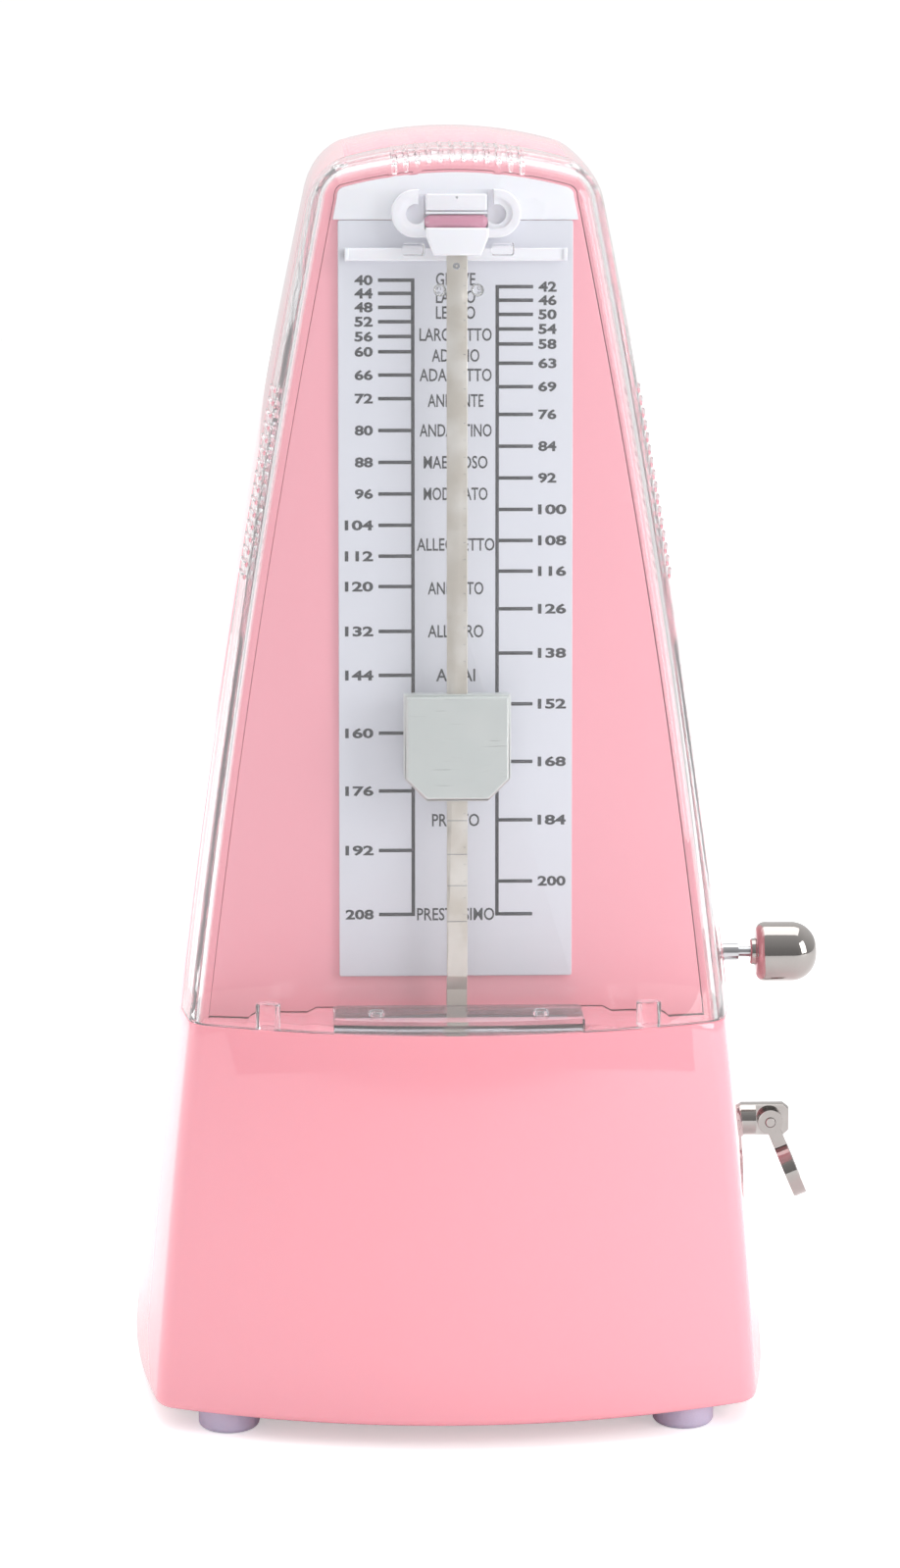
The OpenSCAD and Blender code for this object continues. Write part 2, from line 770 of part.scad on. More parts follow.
module tempo_weight()
    color([0.76, 0.79, 0.78])
        on_panel()
            difference() {
                union() {
                    translate([0, 0, weight_n0])
                        linear_extrude(weight_face - weight_n0 - weight_edge)
                            weight_outline(0);
                    translate([0, 0, weight_face - weight_edge - eps])
                        linear_extrude(weight_edge + eps) weight_outline(0.5);
                }
                translate([-rod_w / 2 - run_gap, weight_at - weight_h - 1, rod_off - run_gap])
                    cube([rod_w + 2 * run_gap, weight_h + 2, rod_t + 2 * run_gap]);
                translate([-3, weight_at - weight_h / 2 - 5, weight_n0 - 1])
                    cube([6, 10, weight_back - spring_seat + 1]);
            }

spring_seat = 0.4;

// Leaf that presses on the rod from behind
module weight_spring()
    color([0.8, 0.8, 0.82])
        on_panel()
            translate([-2.6, weight_at - weight_h / 2 - 4.8, weight_n0 + 0.3])
                cube([5.2, 9.6, 0.5]);

// ---------- movement frame ----------

frame_y0 = -27;
frame_y1 = 34;
frame_top = 63;
pivot_r = 0.8;
pillar_r = 2.4;
pillars = [[-22, 11], [30, 11], [30.5, 46.5], [-21, 60]];
frame_screw_r = 1.2;
frame_screw_y = [-14, 20];
flange_out = 7;

module frame_screw_places() {
    for (y = frame_screw_y) {
        translate([left_x - plate_t - flange_out / 2, y, 0]) children();
        translate([right_x + plate_t + flange_out / 2, y, 0]) children();
    }
}

module plate_outline()
    polygon([[frame_y0, deck_z], [frame_y1, deck_z], [frame_y1, 52],
             [frame_y1 - 11, frame_top], [frame_y0 + 3, frame_top], [frame_y0, frame_top - 3]]);

module pillar_holes()
    for (p = pillars)
        translate(p) circle(r = 1 + seat_gap);

module left_frame_plate()
    color([0.78, 0.79, 0.8]) {
        difference() {
            union() {
                along_x(left_x - plate_t)
                    linear_extrude(plate_t)
                        difference() {
                            union() {
                                plate_outline();
                                translate([knob_y - 5, frame_top - 1])
                                    square([10, knob_z - frame_top + 6]);
                            }
                            pillar_holes();
                            translate([wind_y, wind_z]) circle(r = 1.5 + run_gap);
                            translate(second_at) circle(r = pivot_r + run_gap);
                            translate([escape_y, pivot_z]) circle(r = pivot_r + run_gap);
                            translate([knob_y, knob_z]) circle(r = selector_r + run_gap);
                            for (p = bridge_feet)
                                translate(p) circle(r = 0.9 + seat_gap);
                            for (z = [54, 60])
                                translate([25, z]) circle(r = 0.9 + seat_gap);
                        }
                translate([left_x - plate_t - flange_out, frame_y0, deck_z])
                    cube([flange_out + eps, frame_y1 - frame_y0, plate_t]);
            }
            frame_screw_places()
                translate([0, 0, deck_z - 1]) cylinder(h = 4, r = frame_screw_r + run_gap);
        }
    }

module right_frame_plate()
    color([0.78, 0.79, 0.8]) {
        difference() {
            union() {
                along_x(right_x)
                    linear_extrude(plate_t)
                        difference() {
                            plate_outline();
                            pillar_holes();
                            translate([wind_y, wind_z]) circle(r = arbor_r + run_gap);
                            translate(second_at) circle(r = pivot_r + run_gap);
                            translate(click_at) circle(r = 1 + seat_gap);
                        }
                translate([right_x + plate_t - eps, frame_y0, deck_z])
                    cube([flange_out + eps, frame_y1 - frame_y0, plate_t]);
            }
            frame_screw_places()
                translate([0, 0, deck_z - 1]) cylinder(h = 4, r = frame_screw_r + run_gap);
        }
    }

module frame_pillars()
    color([0.8, 0.68, 0.4])
        for (p = pillars) {
            along_x(left_x, p[0], p[1]) cylinder(h = right_x - left_x, r = pillar_r);
            along_x(left_x - plate_t - 0.8, p[0], p[1])
                cylinder(h = right_x - left_x + 2 * plate_t + 1.6, r = 1);
        }

module frame_screws()
    color([0.75, 0.75, 0.78])
        frame_screw_places()
            translate([0, 0, deck_z + plate_t])
                rotate([180, 0, 0])
                    pan_screw(2.2, 1.2, frame_screw_r, plate_t + 1.5);

module front_strap()
    color([0.78, 0.79, 0.8])
        difference() {
            translate([left_x, strap_y, pivot_z - 5])
                cube([right_x - left_x, strap_t, 10]);
            along_y(0, strap_y - 1, pivot_z) cylinder(h = strap_t + 2, r = verge_r + run_gap);
        }

// ---------- escapement bridge ----------

bridge_x = -13.5;
bridge_t = 1.5;
bridge_feet = [[-20.5, 53.5], [6, 54.5], [6, 45.5]];
tab_right_x = 3.4;

module escape_bridge()
    color([0.8, 0.68, 0.4]) {
        difference() {
            union() {
                along_x(bridge_x)
                    linear_extrude(bridge_t)
                        polygon([[-23, 43], [8.5, 43], [8.5, 57.2], [-23, 57.2]]);
                translate([bridge_x, bearing_tab_y, pivot_z - 4])
                    cube([tab_right_x - bridge_x, bearing_tab_t, 8]);
            }
            along_x(bridge_x - 1, escape_y, pivot_z)
                cylinder(h = bridge_t + 2, r = escape_arbor_r + run_gap);
            along_y(0, bearing_tab_y - 1, pivot_z)
                cylinder(h = bearing_tab_t + 2, r = verge_r + run_gap);
            for (p = bridge_feet)
                along_x(bridge_x - 1, p[0], p[1]) cylinder(h = 4, r = 0.9 + seat_gap);
        }
    }

module bridge_posts()
    color([0.8, 0.68, 0.4])
        for (p = bridge_feet) {
            along_x(left_x, p[0], p[1]) cylinder(h = bridge_x - left_x, r = 2);
            along_x(left_x - plate_t - 0.6, p[0], p[1])
                cylinder(h = bridge_x - left_x + plate_t + bridge_t + 1.2, r = 0.9);
        }

// ---------- wheels ----------

function circle_meet(a, ra, b, rb) =
    let (d = norm(b - a))
    let (u = (b - a) / d)
    let (p = (ra * ra - rb * rb + d * d) / (2 * d))
    a + p * u + sqrt(ra * ra - p * p) * [-u[1], u[0]];

great_dist = great_mod * (great_teeth + second_pinion_teeth) / 2;
second_dist = second_mod * (second_teeth + escape_pinion_teeth) / 2;
wind_at = [wind_y, wind_z];
escape_at = [escape_y, pivot_z];
second_at = circle_meet(wind_at, great_dist, escape_at, second_dist);
function bearing(a, b) = atan2(b[1] - a[1], b[0] - a[0]);

tooth_add = 0.7;
tooth_ded = 1.2;
tooth_mid = 0.36;
tooth_tip = 0.14;
tooth_root = 0.56;

// Wheel outline with a tooth, or with shift = 0.5 a gap, at angle aim
module toothed(teeth, mod, aim, shift = 0) {
    r = mod * teeth / 2;
    step = 360 / teeth;
    ro = r + tooth_add * mod;
    ri = r - tooth_ded * mod;
    polygon([for (k = [0:teeth - 1])
             for (q = [[ri, -tooth_root], [r, -tooth_mid], [ro, -tooth_tip],
                       [ro, tooth_tip], [r, tooth_mid], [ri, tooth_root]])
                 let (a = aim + (k + shift + q[1] / 2) * step)
                 q[0] * [cos(a), sin(a)]]);
}

arbor_r = 2.5;
second_arbor_r = 1.4;
escape_arbor_r = 1.3;
great_x = 5;
great_t = 2;
drum_x = great_x + great_t;
drum_len = 11.5;
drum_wall = 0.9;
lid_t = 0.8;

module barrel_drum()
    color([0.83, 0.7, 0.42])
        along_x(drum_x, wind_y, wind_z)
            difference() {
                cylinder(h = drum_len, r = barrel_r);
                translate([0, 0, 1]) cylinder(h = drum_len, r = barrel_r - drum_wall);
                translate([0, 0, -1]) cylinder(h = 4, r = arbor_r + run_gap);
            }

module barrel_lid()
    color([0.83, 0.7, 0.42])
        along_x(drum_x + drum_len, wind_y, wind_z)
            difference() {
                cylinder(h = lid_t, r = barrel_r);
                translate([0, 0, -1]) cylinder(h = 4, r = arbor_r + run_gap);
            }

module great_wheel()
    color([0.86, 0.72, 0.42])
        along_x(great_x, wind_y, wind_z)
            linear_extrude(great_t)
                difference() {
                    toothed(great_teeth, great_mod, bearing(wind_at, second_at));
                    circle(r = arbor_r + run_gap);
                }

spring_in = 4.4;
spring_steps = 20;
function spiral_r(k, n) = mix(spring_in, barrel_r - drum_wall - spring_t - 0.3, k / n);

module mainspring()
    color([0.42, 0.45, 0.5])
        along_x(drum_x + 1.4, wind_y, wind_z)
            linear_extrude(drum_len - 2) {
                n = spring_turns * spring_steps;
                out_pts = [for (k = [0:n])
                    let (a = 360 * k / spring_steps)
                    (spiral_r(k, n) + spring_t / 2) * [cos(a), sin(a)]];
                in_pts = [for (k = [n:-1:0])
                    let (a = 360 * k / spring_steps)
                    (spiral_r(k, n) - spring_t / 2) * [cos(a), sin(a)]];
                polygon(concat(out_pts, in_pts));
            }

ratchet_x = right_x + plate_t + 0.4;
ratchet_t = 1.6;
ratchet_teeth = 20;
ratchet_r = 8;
key_seat_x = side_x(wind_z) - 4;

module winding_arbor()
    color([0.72, 0.73, 0.75]) {
        along_x(left_x - plate_t - 0.5, wind_y, wind_z) cylinder(h = 5, r = 1.5);
        along_x(left_x + 0.3, wind_y, wind_z) cylinder(h = key_seat_x - left_x - 0.3, r = arbor_r);
    }

module ratchet_wheel()
    color([0.62, 0.63, 0.66])
        along_x(ratchet_x, wind_y, wind_z)
            linear_extrude(ratchet_t)
                difference() {
                    polygon([for (k = [0:ratchet_teeth - 1])
                             for (q = [[ratchet_r - 1.3, 0.02], [ratchet_r, 0.1], [ratchet_r, 0.2]])
                                 let (a = 360 * (k + q[1]) / ratchet_teeth)
                                 q[0] * [cos(a), sin(a)]]);
                    circle(r = arbor_r + seat_gap);
                }

click_gap = 0.5;
click_boss_r = 2.2;
click_at = wind_at + [-6.2, -10.4];
click_tip = wind_at + (ratchet_r + click_gap) * [cos(212), sin(212)];

// Pawl, shown lifted just clear of the ratchet's teeth
module click()
    color([0.6, 0.6, 0.63])
        along_x(ratchet_x)
            linear_extrude(ratchet_t)
                difference() {
                    union() {
                        translate(click_at) circle(r = click_boss_r);
                        polygon([click_at + [-1.8, 1.2],
                                 click_at + [1.2, -1.8],
                                 click_tip + [0.6, -0.4],
                                 click_tip]);
                    }
                    translate(click_at) circle(r = 1 + run_gap);
                }

module click_screw()
    color([0.75, 0.75, 0.78]) {
        along_x(right_x - 0.4, click_at[0], click_at[1])
            cylinder(h = ratchet_x + ratchet_t - right_x + 0.6, r = 1);
        along_x(ratchet_x + ratchet_t + 0.2, click_at[0], click_at[1])
            cylinder(h = 1, r = 2);
    }

// Thin leaf behind the click, held in the frame plate
module click_spring()
    color([0.7, 0.72, 0.75])
        along_x(right_x + plate_t)
            linear_extrude(2)
                translate(click_at + [-click_boss_r - 0.65, -2.5])
                    square([0.5, 8.5]);

second_pinion_x = great_x - 1;
second_wheel_x = -30.2;
second_wheel_t = 1.6;
escape_pinion_x = -31.4;

module stepped_arbor(x0, x1, at, r) {
    along_x(x0 - plate_t - 0.5, at[0], at[1])
        cylinder(h = x1 - x0 + 2 * plate_t + 1, r = pivot_r);
    along_x(x0 + 0.3, at[0], at[1]) cylinder(h = x1 - x0 - 0.6, r = r);
}

module second_arbor()
    color([0.72, 0.73, 0.75])
        stepped_arbor(left_x, right_x, second_at, second_arbor_r);

module second_pinion()
    color([0.66, 0.67, 0.7])
        along_x(second_pinion_x, second_at[0], second_at[1])
            linear_extrude(great_t + 2)
                difference() {
                    toothed(second_pinion_teeth, great_mod, bearing(second_at, wind_at), 0.5);
                    circle(r = second_arbor_r + seat_gap);
                }

module second_wheel()
    color([0.86, 0.72, 0.42])
        along_x(second_wheel_x, second_at[0], second_at[1])
            linear_extrude(second_wheel_t)
                difference() {
                    toothed(second_teeth, second_mod, bearing(second_at, escape_at));
                    circle(r = second_arbor_r + seat_gap);
                    for (k = [0:4])
                        rotate(72 * k)
                            translate([6.4, 0]) circle(r = 2.3);
                }

crown_gap = 0.35;
crown_face_x = -pallet_len - crown_gap;
crown_depth = 4.2;
crown_x = crown_face_x - crown_depth;
crown_wall = 0.9;
tooth_depth = 2.2;

module escape_arbor()
    color([0.72, 0.73, 0.75]) {
        along_x(left_x - plate_t - 0.5, escape_y, pivot_z)
            cylinder(h = plate_t + 2, r = pivot_r);
        along_x(left_x + 0.3, escape_y, pivot_z)
            cylinder(h = crown_x + 1.2 - left_x - 0.3, r = escape_arbor_r);
    }

module escape_pinion()
    color([0.66, 0.67, 0.7])
        along_x(escape_pinion_x, escape_y, pivot_z)
            linear_extrude(4)
                difference() {
                    toothed(escape_pinion_teeth, second_mod, bearing(escape_at, second_at), 0.5);
                    circle(r = escape_arbor_r + seat_gap);
                }

// Crown wheel: a shallow cup whose rim is cut into saw teeth
module escape_wheel()
    color([0.86, 0.72, 0.42])
        along_x(crown_x, escape_y, pivot_z)
            difference() {
                cylinder(h = crown_depth, r = crown_r);
                translate([0, 0, 1.2]) cylinder(h = crown_depth, r = crown_r - crown_wall);
                translate([0, 0, -1]) cylinder(h = 4, r = escape_arbor_r + seat_gap);
                for (k = [0:crown_teeth - 1])
                    rotate(360 * k / crown_teeth)
                        translate([crown_r - 2, 0, 0])
                            rotate([90, 0, 90])
                                linear_extrude(4)
                                    polygon([[0.15, crown_depth - tooth_depth],
                                             [0.15, crown_depth + 1],
                                             [crown_gullet, crown_depth + 1],
                                             [crown_gullet, crown_depth - 0.2]]);
            }
crown_gullet = 2 * PI * crown_r / crown_teeth - 0.6;

cam_x = -23.2;
cam_lobes = [18, 12, 9, 6];

// Four star wheels, which lift the hammer every 2, 3, 4 or 6 beats
module beat_cams()
    color([0.93, 0.93, 0.9])
        difference() {
            union() {
                along_x(cam_x - cam_pitch / 2, escape_y, pivot_z)
                    cylinder(h = 3.8 * cam_pitch, r = 3.2);
                for (c = [0:3])
                    along_x(cam_x - cam_t / 2 + c * cam_pitch, escape_y, pivot_z)
                        linear_extrude(cam_t)
                            polygon([for (k = [0:cam_lobes[c] - 1])
                                     for (q = [[cam_r - 1.4, -0.3], [cam_r, -0.05],
                                               [cam_r, 0.05], [cam_r - 1.4, 0.1]])
                                         let (a = 360 * (k + q[1]) / cam_lobes[c])
                                         q[0] * [cos(a), sin(a)]]);
            }
            along_x(cam_x - 3, escape_y, pivot_z)
                cylinder(h = 20, r = escape_arbor_r + seat_gap);
        }

// ---------- key ----------

wing_gap = 0.15;
fork_half = 1.25;
wing_pin_r = 0.9;

module key_shaft()
    color([0.8, 0.78, 0.77])
        difference() {
            union() {
                along_x(key_seat_x - 6, wind_y, wind_z)
                    cylinder(h = key_end_x - 1 - key_seat_x + 6, r = key_r);
                along_x(key_end_x - 1, wind_y, wind_z)
                    cylinder(h = 1, r1 = key_r, r2 = key_r - 0.8);
            }
            along_x(key_seat_x - 7, wind_y, wind_z)
                cylinder(h = 7.1, r = arbor_r + seat_gap);
            // flats where the wing's two ears sit
            for (s = [-1, 1])
                translate([key_pivot_x - 2.6, wind_y + (s > 0 ? fork_half : -fork_half - 5), wind_z - 5])
                    cube([10, 5, 10]);
            along_y(key_pivot_x, wind_y - 5, wind_z) cylinder(h = 10, r = wing_pin_r + seat_gap);
        }

module key_pin()
    color([0.35, 0.34, 0.35])
        along_y(key_pivot_x, wind_y - key_r, wind_z)
            cylinder(h = 2 * key_r, r = wing_pin_r);

ear_r = 2.3;
ear_t = 1.5;
wing_hole_w = 7.2;
wing_hole_len = 7.8;

// Oval loop with two ears, hanging from the pin
module key_wing()
    color([0.8, 0.78, 0.77])
        translate([key_pivot_x, wind_y, wind_z])
            rotate([0, wing_hang, 0]) {
                for (s = [-1, 1])
                    difference() {
                        along_y(0, s > 0 ? fork_half + wing_gap : -fork_half - wing_gap - ear_t, 0)
                            union() {
                                cylinder(h = ear_t, r = ear_r);
                                translate([0, -wing_t / 2, 0]) cube([5, wing_t, ear_t]);
                            }
                        along_y(0, -10, 0) cylinder(h = 20, r = wing_pin_r + run_gap);
                    }
                translate([0, 0, -wing_t / 2])
                    difference() {
                        translate([wing_len / 2 + 2.4, 0, 0])
                            stadium_up(wing_len - 4.8, wing_w, wing_t);
                        translate([wing_hole_len / 2 + 4.9, 0, -1])
                            stadium_up(wing_hole_len, wing_hole_w, wing_t + 2);
                        translate([-5, -fork_half - wing_gap, -1])
                            cube([8.5, 2 * (fork_half + wing_gap), wing_t + 2]);
                    }
            }

module stadium_up(len, w, t)
    linear_extrude(t) rounded_box_2d(len, w, min(len, w) / 2 - 0.1);

bush_flange = 1.1;
bush_flange_t = 0.9;

// Plain bush, pushed in from inside the case until its flange meets the wall
module wall_bush(y, z, r_out, r_in) {
    x1 = side_x(z + r_out) - 0.3;
    x0 = side_x(z + r_out + bush_flange) - wall - 0.5;
    along_x(x0, y, z)
        difference() {
            union() {
                cylinder(h = x1 - x0, r = r_out - run_gap);
                translate([0, 0, -bush_flange_t])
                    cylinder(h = bush_flange_t, r = r_out + bush_flange);
            }
            translate([0, 0, -5]) cylinder(h = 15, r = r_in);
        }
}

module key_bush()
    color([0.9, 0.62, 0.68])
        wall_bush(wind_y, wind_z, key_hole_r, key_r + run_gap);

// ---------- bell selector ----------

selector_r = 1.5;
knob_hole_r = selector_r + bush_wall;
selector_end_x = left_x - plate_t - 2;
collar_r = 2.4;
lever_x = cam_x - cam_pitch - cam_t / 2;
lever_t = 1.5;
collar_gap = 0.12;
neck_r = 0.9;

module selector_rod()
    color([0.82, 0.82, 0.83]) {
        along_x(selector_end_x, knob_y, knob_z)
            cylinder(h = knob_x - 2.1 - selector_end_x, r = selector_r);
        along_x(knob_x - 2.2, knob_y, knob_z) cylinder(h = 4, r = neck_r);
        along_x(lever_x - collar_gap - 1.4, knob_y, knob_z) cylinder(h = 1.4, r = collar_r);
        along_x(lever_x + lever_t + collar_gap, knob_y, knob_z) cylinder(h = 1.4, r = collar_r);
    }

module selector_knob()
    color([0.75, 0.73, 0.72])
        along_x(knob_x, knob_y, knob_z)
            difference() {
                rotate_extrude() {
                    polygon([[0, 0], [knob_r - 1.2, 0], [knob_r, 1.2],
                             [knob_r, knob_len - 3.4], [0, knob_len - 3.4]]);
                    intersection() {
                        translate([knob_r - 3.4, knob_len - 3.4]) circle(r = 3.4);
                        square([knob_r, knob_len]);
                    }
                    translate([0, knob_len - 3.5]) square([knob_r - 3.4, 3.5]);
                }
                translate([0, 0, -1]) cylinder(h = 2.8, r = neck_r + seat_gap);
            }

module selector_bush()
    color([0.9, 0.62, 0.68])
        wall_bush(knob_y, knob_z, knob_hole_r, selector_r + run_gap);

// ---------- bell and hammer ----------

bell_y = 25;
bell_z = 90;
bell_x = -29.5;
head_r = 1.9;
head_gap = 2;
head_len = 4;
head_at = [bell_y - bell_r - head_gap - head_len, bell_z];
finger_tip = [escape_y, pivot_z + cam_r + 0.5];

module bar_2d(a, b, w)
    translate(a) rotate(bearing(a, b)) translate([0, -w / 2]) square([norm(b - a), w]);

module hammer_lever()
    color([0.78, 0.78, 0.8])
        along_x(lever_x)
            linear_extrude(lever_t)
                difference() {
                    union() {
                        translate([knob_y, knob_z]) circle(r = 3.4);
                        bar_2d([knob_y, knob_z], finger_tip, 1.8);
                        bar_2d([knob_y, knob_z], head_at + [1, 0], 1.8);
                        translate(head_at + [1, 0]) circle(r = head_r + 0.9);
                    }
                    translate([knob_y, knob_z]) circle(r = selector_r + run_gap);
                }

module hammer_head()
    color([0.55, 0.55, 0.58])
        difference() {
            along_y(lever_x + lever_t / 2, head_at[0] - 0.4, head_at[1])
                cylinder(h = head_len + 0.4, r = head_r);
            along_x(lever_x - seat_gap)
                linear_extrude(lever_t + 2 * seat_gap)
                    translate(head_at + [1, 0]) circle(r = head_r + 0.9 + seat_gap);
        }

module bell()
    color([0.85, 0.85, 0.87])
        along_x(bell_x, bell_y, bell_z)
            rotate_extrude()
                difference() {
                    bell_side(bell_r, bell_len, 5);
                    translate([0, bell_t]) bell_side(bell_r - bell_t, bell_len, 5 - bell_t);
                    translate([-1, -1]) square([2.55, bell_len]);
                }

module bell_side(r, len, round) {
    translate([0, round]) square([r, len - round]);
    square([r - round, len]);
    intersection() {
        translate([r - round, round]) circle(r = round);
        square([r, len]);
    }
}

bracket_x = left_x;
bracket_t = 1.4;

module bell_bracket()
    color([0.78, 0.79, 0.8])
        difference() {
            along_x(bracket_x)
                linear_extrude(bracket_t)
                    difference() {
                        translate([bell_y - 4, 51]) square([8, bell_z - 51 + 5]);
                        for (z = [54, 60])
                            translate([bell_y, z]) circle(r = 0.9 + seat_gap);
                        translate([bell_y, bell_z]) circle(r = 1.5 + seat_gap);
                    }
        }

module bell_screw()
    color([0.75, 0.75, 0.78]) {
        along_x(bracket_x - 1, bell_y, bell_z)
            cylinder(h = bell_x + bell_t + 1.2 - bracket_x, r = 1.5);
        along_x(bracket_x + bracket_t, bell_y, bell_z)
            difference() {
                cylinder(h = bell_x - bracket_x - bracket_t, r = 3);
                translate([0, 0, -1]) cylinder(h = 6, r = 1.4);
            }
        along_x(bell_x + bell_t, bell_y, bell_z) cylinder(h = 1.4, r = 3);
        for (z = [54, 60])
            along_x(left_x - plate_t - 1, bell_y, z)
                cylinder(h = plate_t + bracket_t + 1, r = 0.9);
    }

// ---------- assembly ----------

housing();
front_panel();
scale_plate();
top_bracket();
rod_clip();
front_cover();
base_plate();
feet();
base_screws();
pendulum_rod();
rod_hub();
pendulum_bob();
verge_arbor();
pallets();
tempo_weight();
weight_spring();
left_frame_plate();
right_frame_plate();
frame_pillars();
frame_screws();
front_strap();
escape_bridge();
bridge_posts();
barrel_drum();
barrel_lid();
great_wheel();
mainspring();
winding_arbor();
ratchet_wheel();
click();
click_screw();
click_spring();
second_arbor();
second_pinion();
second_wheel();
escape_arbor();
escape_pinion();
escape_wheel();
beat_cams();
key_shaft();
key_pin();
key_wing();
key_bush();
selector_knob();
selector_rod();
selector_bush();
hammer_lever();
hammer_head();
bell();
bell_bracket();
bell_screw();
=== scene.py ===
import json
import math

import bmesh
import bpy
from mathutils import Matrix, Vector


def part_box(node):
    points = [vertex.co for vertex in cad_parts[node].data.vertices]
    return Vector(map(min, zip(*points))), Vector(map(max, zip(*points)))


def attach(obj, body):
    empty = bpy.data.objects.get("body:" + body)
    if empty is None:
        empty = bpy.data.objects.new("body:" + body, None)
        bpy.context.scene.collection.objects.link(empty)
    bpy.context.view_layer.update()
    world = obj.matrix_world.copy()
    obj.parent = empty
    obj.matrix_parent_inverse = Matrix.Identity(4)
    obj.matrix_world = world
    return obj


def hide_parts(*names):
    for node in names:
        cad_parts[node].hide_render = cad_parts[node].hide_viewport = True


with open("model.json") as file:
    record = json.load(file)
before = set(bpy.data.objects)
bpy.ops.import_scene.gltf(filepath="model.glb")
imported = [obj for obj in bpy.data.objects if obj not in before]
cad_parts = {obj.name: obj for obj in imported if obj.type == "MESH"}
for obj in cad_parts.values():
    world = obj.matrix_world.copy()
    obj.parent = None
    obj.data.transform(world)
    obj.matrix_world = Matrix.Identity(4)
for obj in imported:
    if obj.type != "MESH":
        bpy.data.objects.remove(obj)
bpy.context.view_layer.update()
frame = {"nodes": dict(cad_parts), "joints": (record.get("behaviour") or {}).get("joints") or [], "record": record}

MM = 0.001
joints = {j["name"]: j for j in frame["joints"]}

# ---------------------------------------------------------------- the case's form, in millimetres

FOOT_H = 4.0
CASE_H = 219.0
SHOULDER_DROP = 8.0
CASE_HALF_W, SHOULDER_HALF_W = 51.8, 24.2
CASE_HALF_D, SHOULDER_HALF_D = 56.0, 25.5
FLANK_BOW = 3.2
FRONT_R, SIDE_R, CORNER_R = 125.0, 225.0, 5.0
ARCH_R, TOP_EDGE_R, BOTTOM_EDGE_R = 72.0, 5.0, 1.4
WALL, RIM_T = 2.2, 2.6
LEDGE_Z, SEAM_FRONT = 71.4, 29.3
PANEL_INSET, PANEL_GAP = 4.6, 0.15
COVER_WALL, COVER_GAP = 1.8, 0.2
SLOT_HALF_W, SLOT_DEPTH = 21.3, 12.3
SHOULDER_Z = CASE_H - SHOULDER_DROP

lean_axis = Vector(joints["weight_slide"]["axis"])
LEAN = math.atan2(lean_axis.y, lean_axis.z)

# Steps round a quarter of the outline, up the flank and over the top edge
FRONT_STEPS, CORNER_STEPS, SIDE_STEPS = 14, 8, 10
LEVEL_STEPS, EDGE_STEPS, FOOT_STEPS = 24, 7, 4
ROUND_STEPS = 48
TINY = 1e-4


def mix(a, b, t):
    return a + (b - a) * t


def bowed(low, high, z):
    t = (z - FOOT_H) / (SHOULDER_Z - FOOT_H)
    return mix(low, high, t) + 4 * FLANK_BOW * t * (1 - t)


def half_w(z):
    return bowed(CASE_HALF_W, SHOULDER_HALF_W, z)


def half_d(z):
    return bowed(CASE_HALF_D, SHOULDER_HALF_D, z)


def corner_y(z):
    return half_d(z) - half_w(z) ** 2 / (2 * FRONT_R)


def side_x(z):
    return half_w(z) + corner_y(z) ** 2 / (2 * SIDE_R)


def arch_z(x):
    return CASE_H - ARCH_R + math.sqrt(ARCH_R ** 2 - x * x)


def seam_y(z):
    return -SEAM_FRONT + (z - LEDGE_Z) * math.tan(LEAN)


def quarter(z, inset):
    """Outline from the middle of the front to the middle of the right side."""
    r = max(CORNER_R - inset, 1.0)
    rf, rs = FRONT_R - inset, SIDE_R - inset
    fc = Vector((0, FRONT_R - half_d(z)))
    sc = Vector((side_x(z) - SIDE_R, 0))
    gap = sc - fc
    d = gap.length
    u = gap / d
    a = ((rf - r) ** 2 - (rs - r) ** 2 + d * d) / (2 * d)
    h = math.sqrt((rf - r) ** 2 - a * a)
    mid = fc + a * u + h * Vector((-u.y, u.x)) * (-1 if u.y > 0 else 1)
    mid = Vector((abs(mid.x), -abs(mid.y)))
    af = math.atan2(mid.y - fc.y, mid.x - fc.x)
    aside = math.atan2(mid.y - sc.y, mid.x - sc.x)
    out = []
    for k in range(FRONT_STEPS):
        t = mix(-math.pi / 2, af, k / FRONT_STEPS)
        out.append(fc + rf * Vector((math.cos(t), math.sin(t))))
    for k in range(CORNER_STEPS + 1):
        t = mix(af, aside, k / CORNER_STEPS)
        out.append(mid + r * Vector((math.cos(t), math.sin(t))))
    for k in range(1, SIDE_STEPS + 1):
        t = mix(aside, 0, k / SIDE_STEPS)
        out.append(sc + rs * Vector((math.cos(t), math.sin(t))))
    return out


QUARTER = FRONT_STEPS + CORNER_STEPS + SIDE_STEPS


def ring(z, inset):
    """The closed outline at a height, anticlockwise from the middle of the front."""
    q = quarter(z, inset)
    pts = [q[k] for k in range(QUARTER)]
    pts += [Vector((q[k].x, -q[k].y)) for k in range(QUARTER, 0, -1)]
    pts += [Vector((-q[k].x, -q[k].y)) for k in range(0, QUARTER)]
    pts += [Vector((-q[k].x, q[k].y)) for k in range(QUARTER, 0, -1)]
    return pts


def level_ring(share, turn, inset, z0):
    """One ring of the form: a share of the way up to the rounded top edge, then round it by turn."""
    r = max(TOP_EDGE_R - inset, 1.0)
    draw_in = inset + r * (1 - math.cos(turn))

    def height(x):
        return mix(z0, arch_z(x) - inset - r, share) + r * math.sin(turn)

    first = ring(height(0), draw_in)
    out = []
    for k, p in enumerate(first):
        z = height(p.x)
        q = quarter_point(z, draw_in, k)
        out.append(Vector((q.x, q.y, height(q.x))))
    return out


_rings = {}


def quarter_point(z, inset, k):
    key = (round(z, 3), round(inset, 4))
    if key not in _rings:
        _rings[key] = ring(z, inset)
    return _rings[key][k]


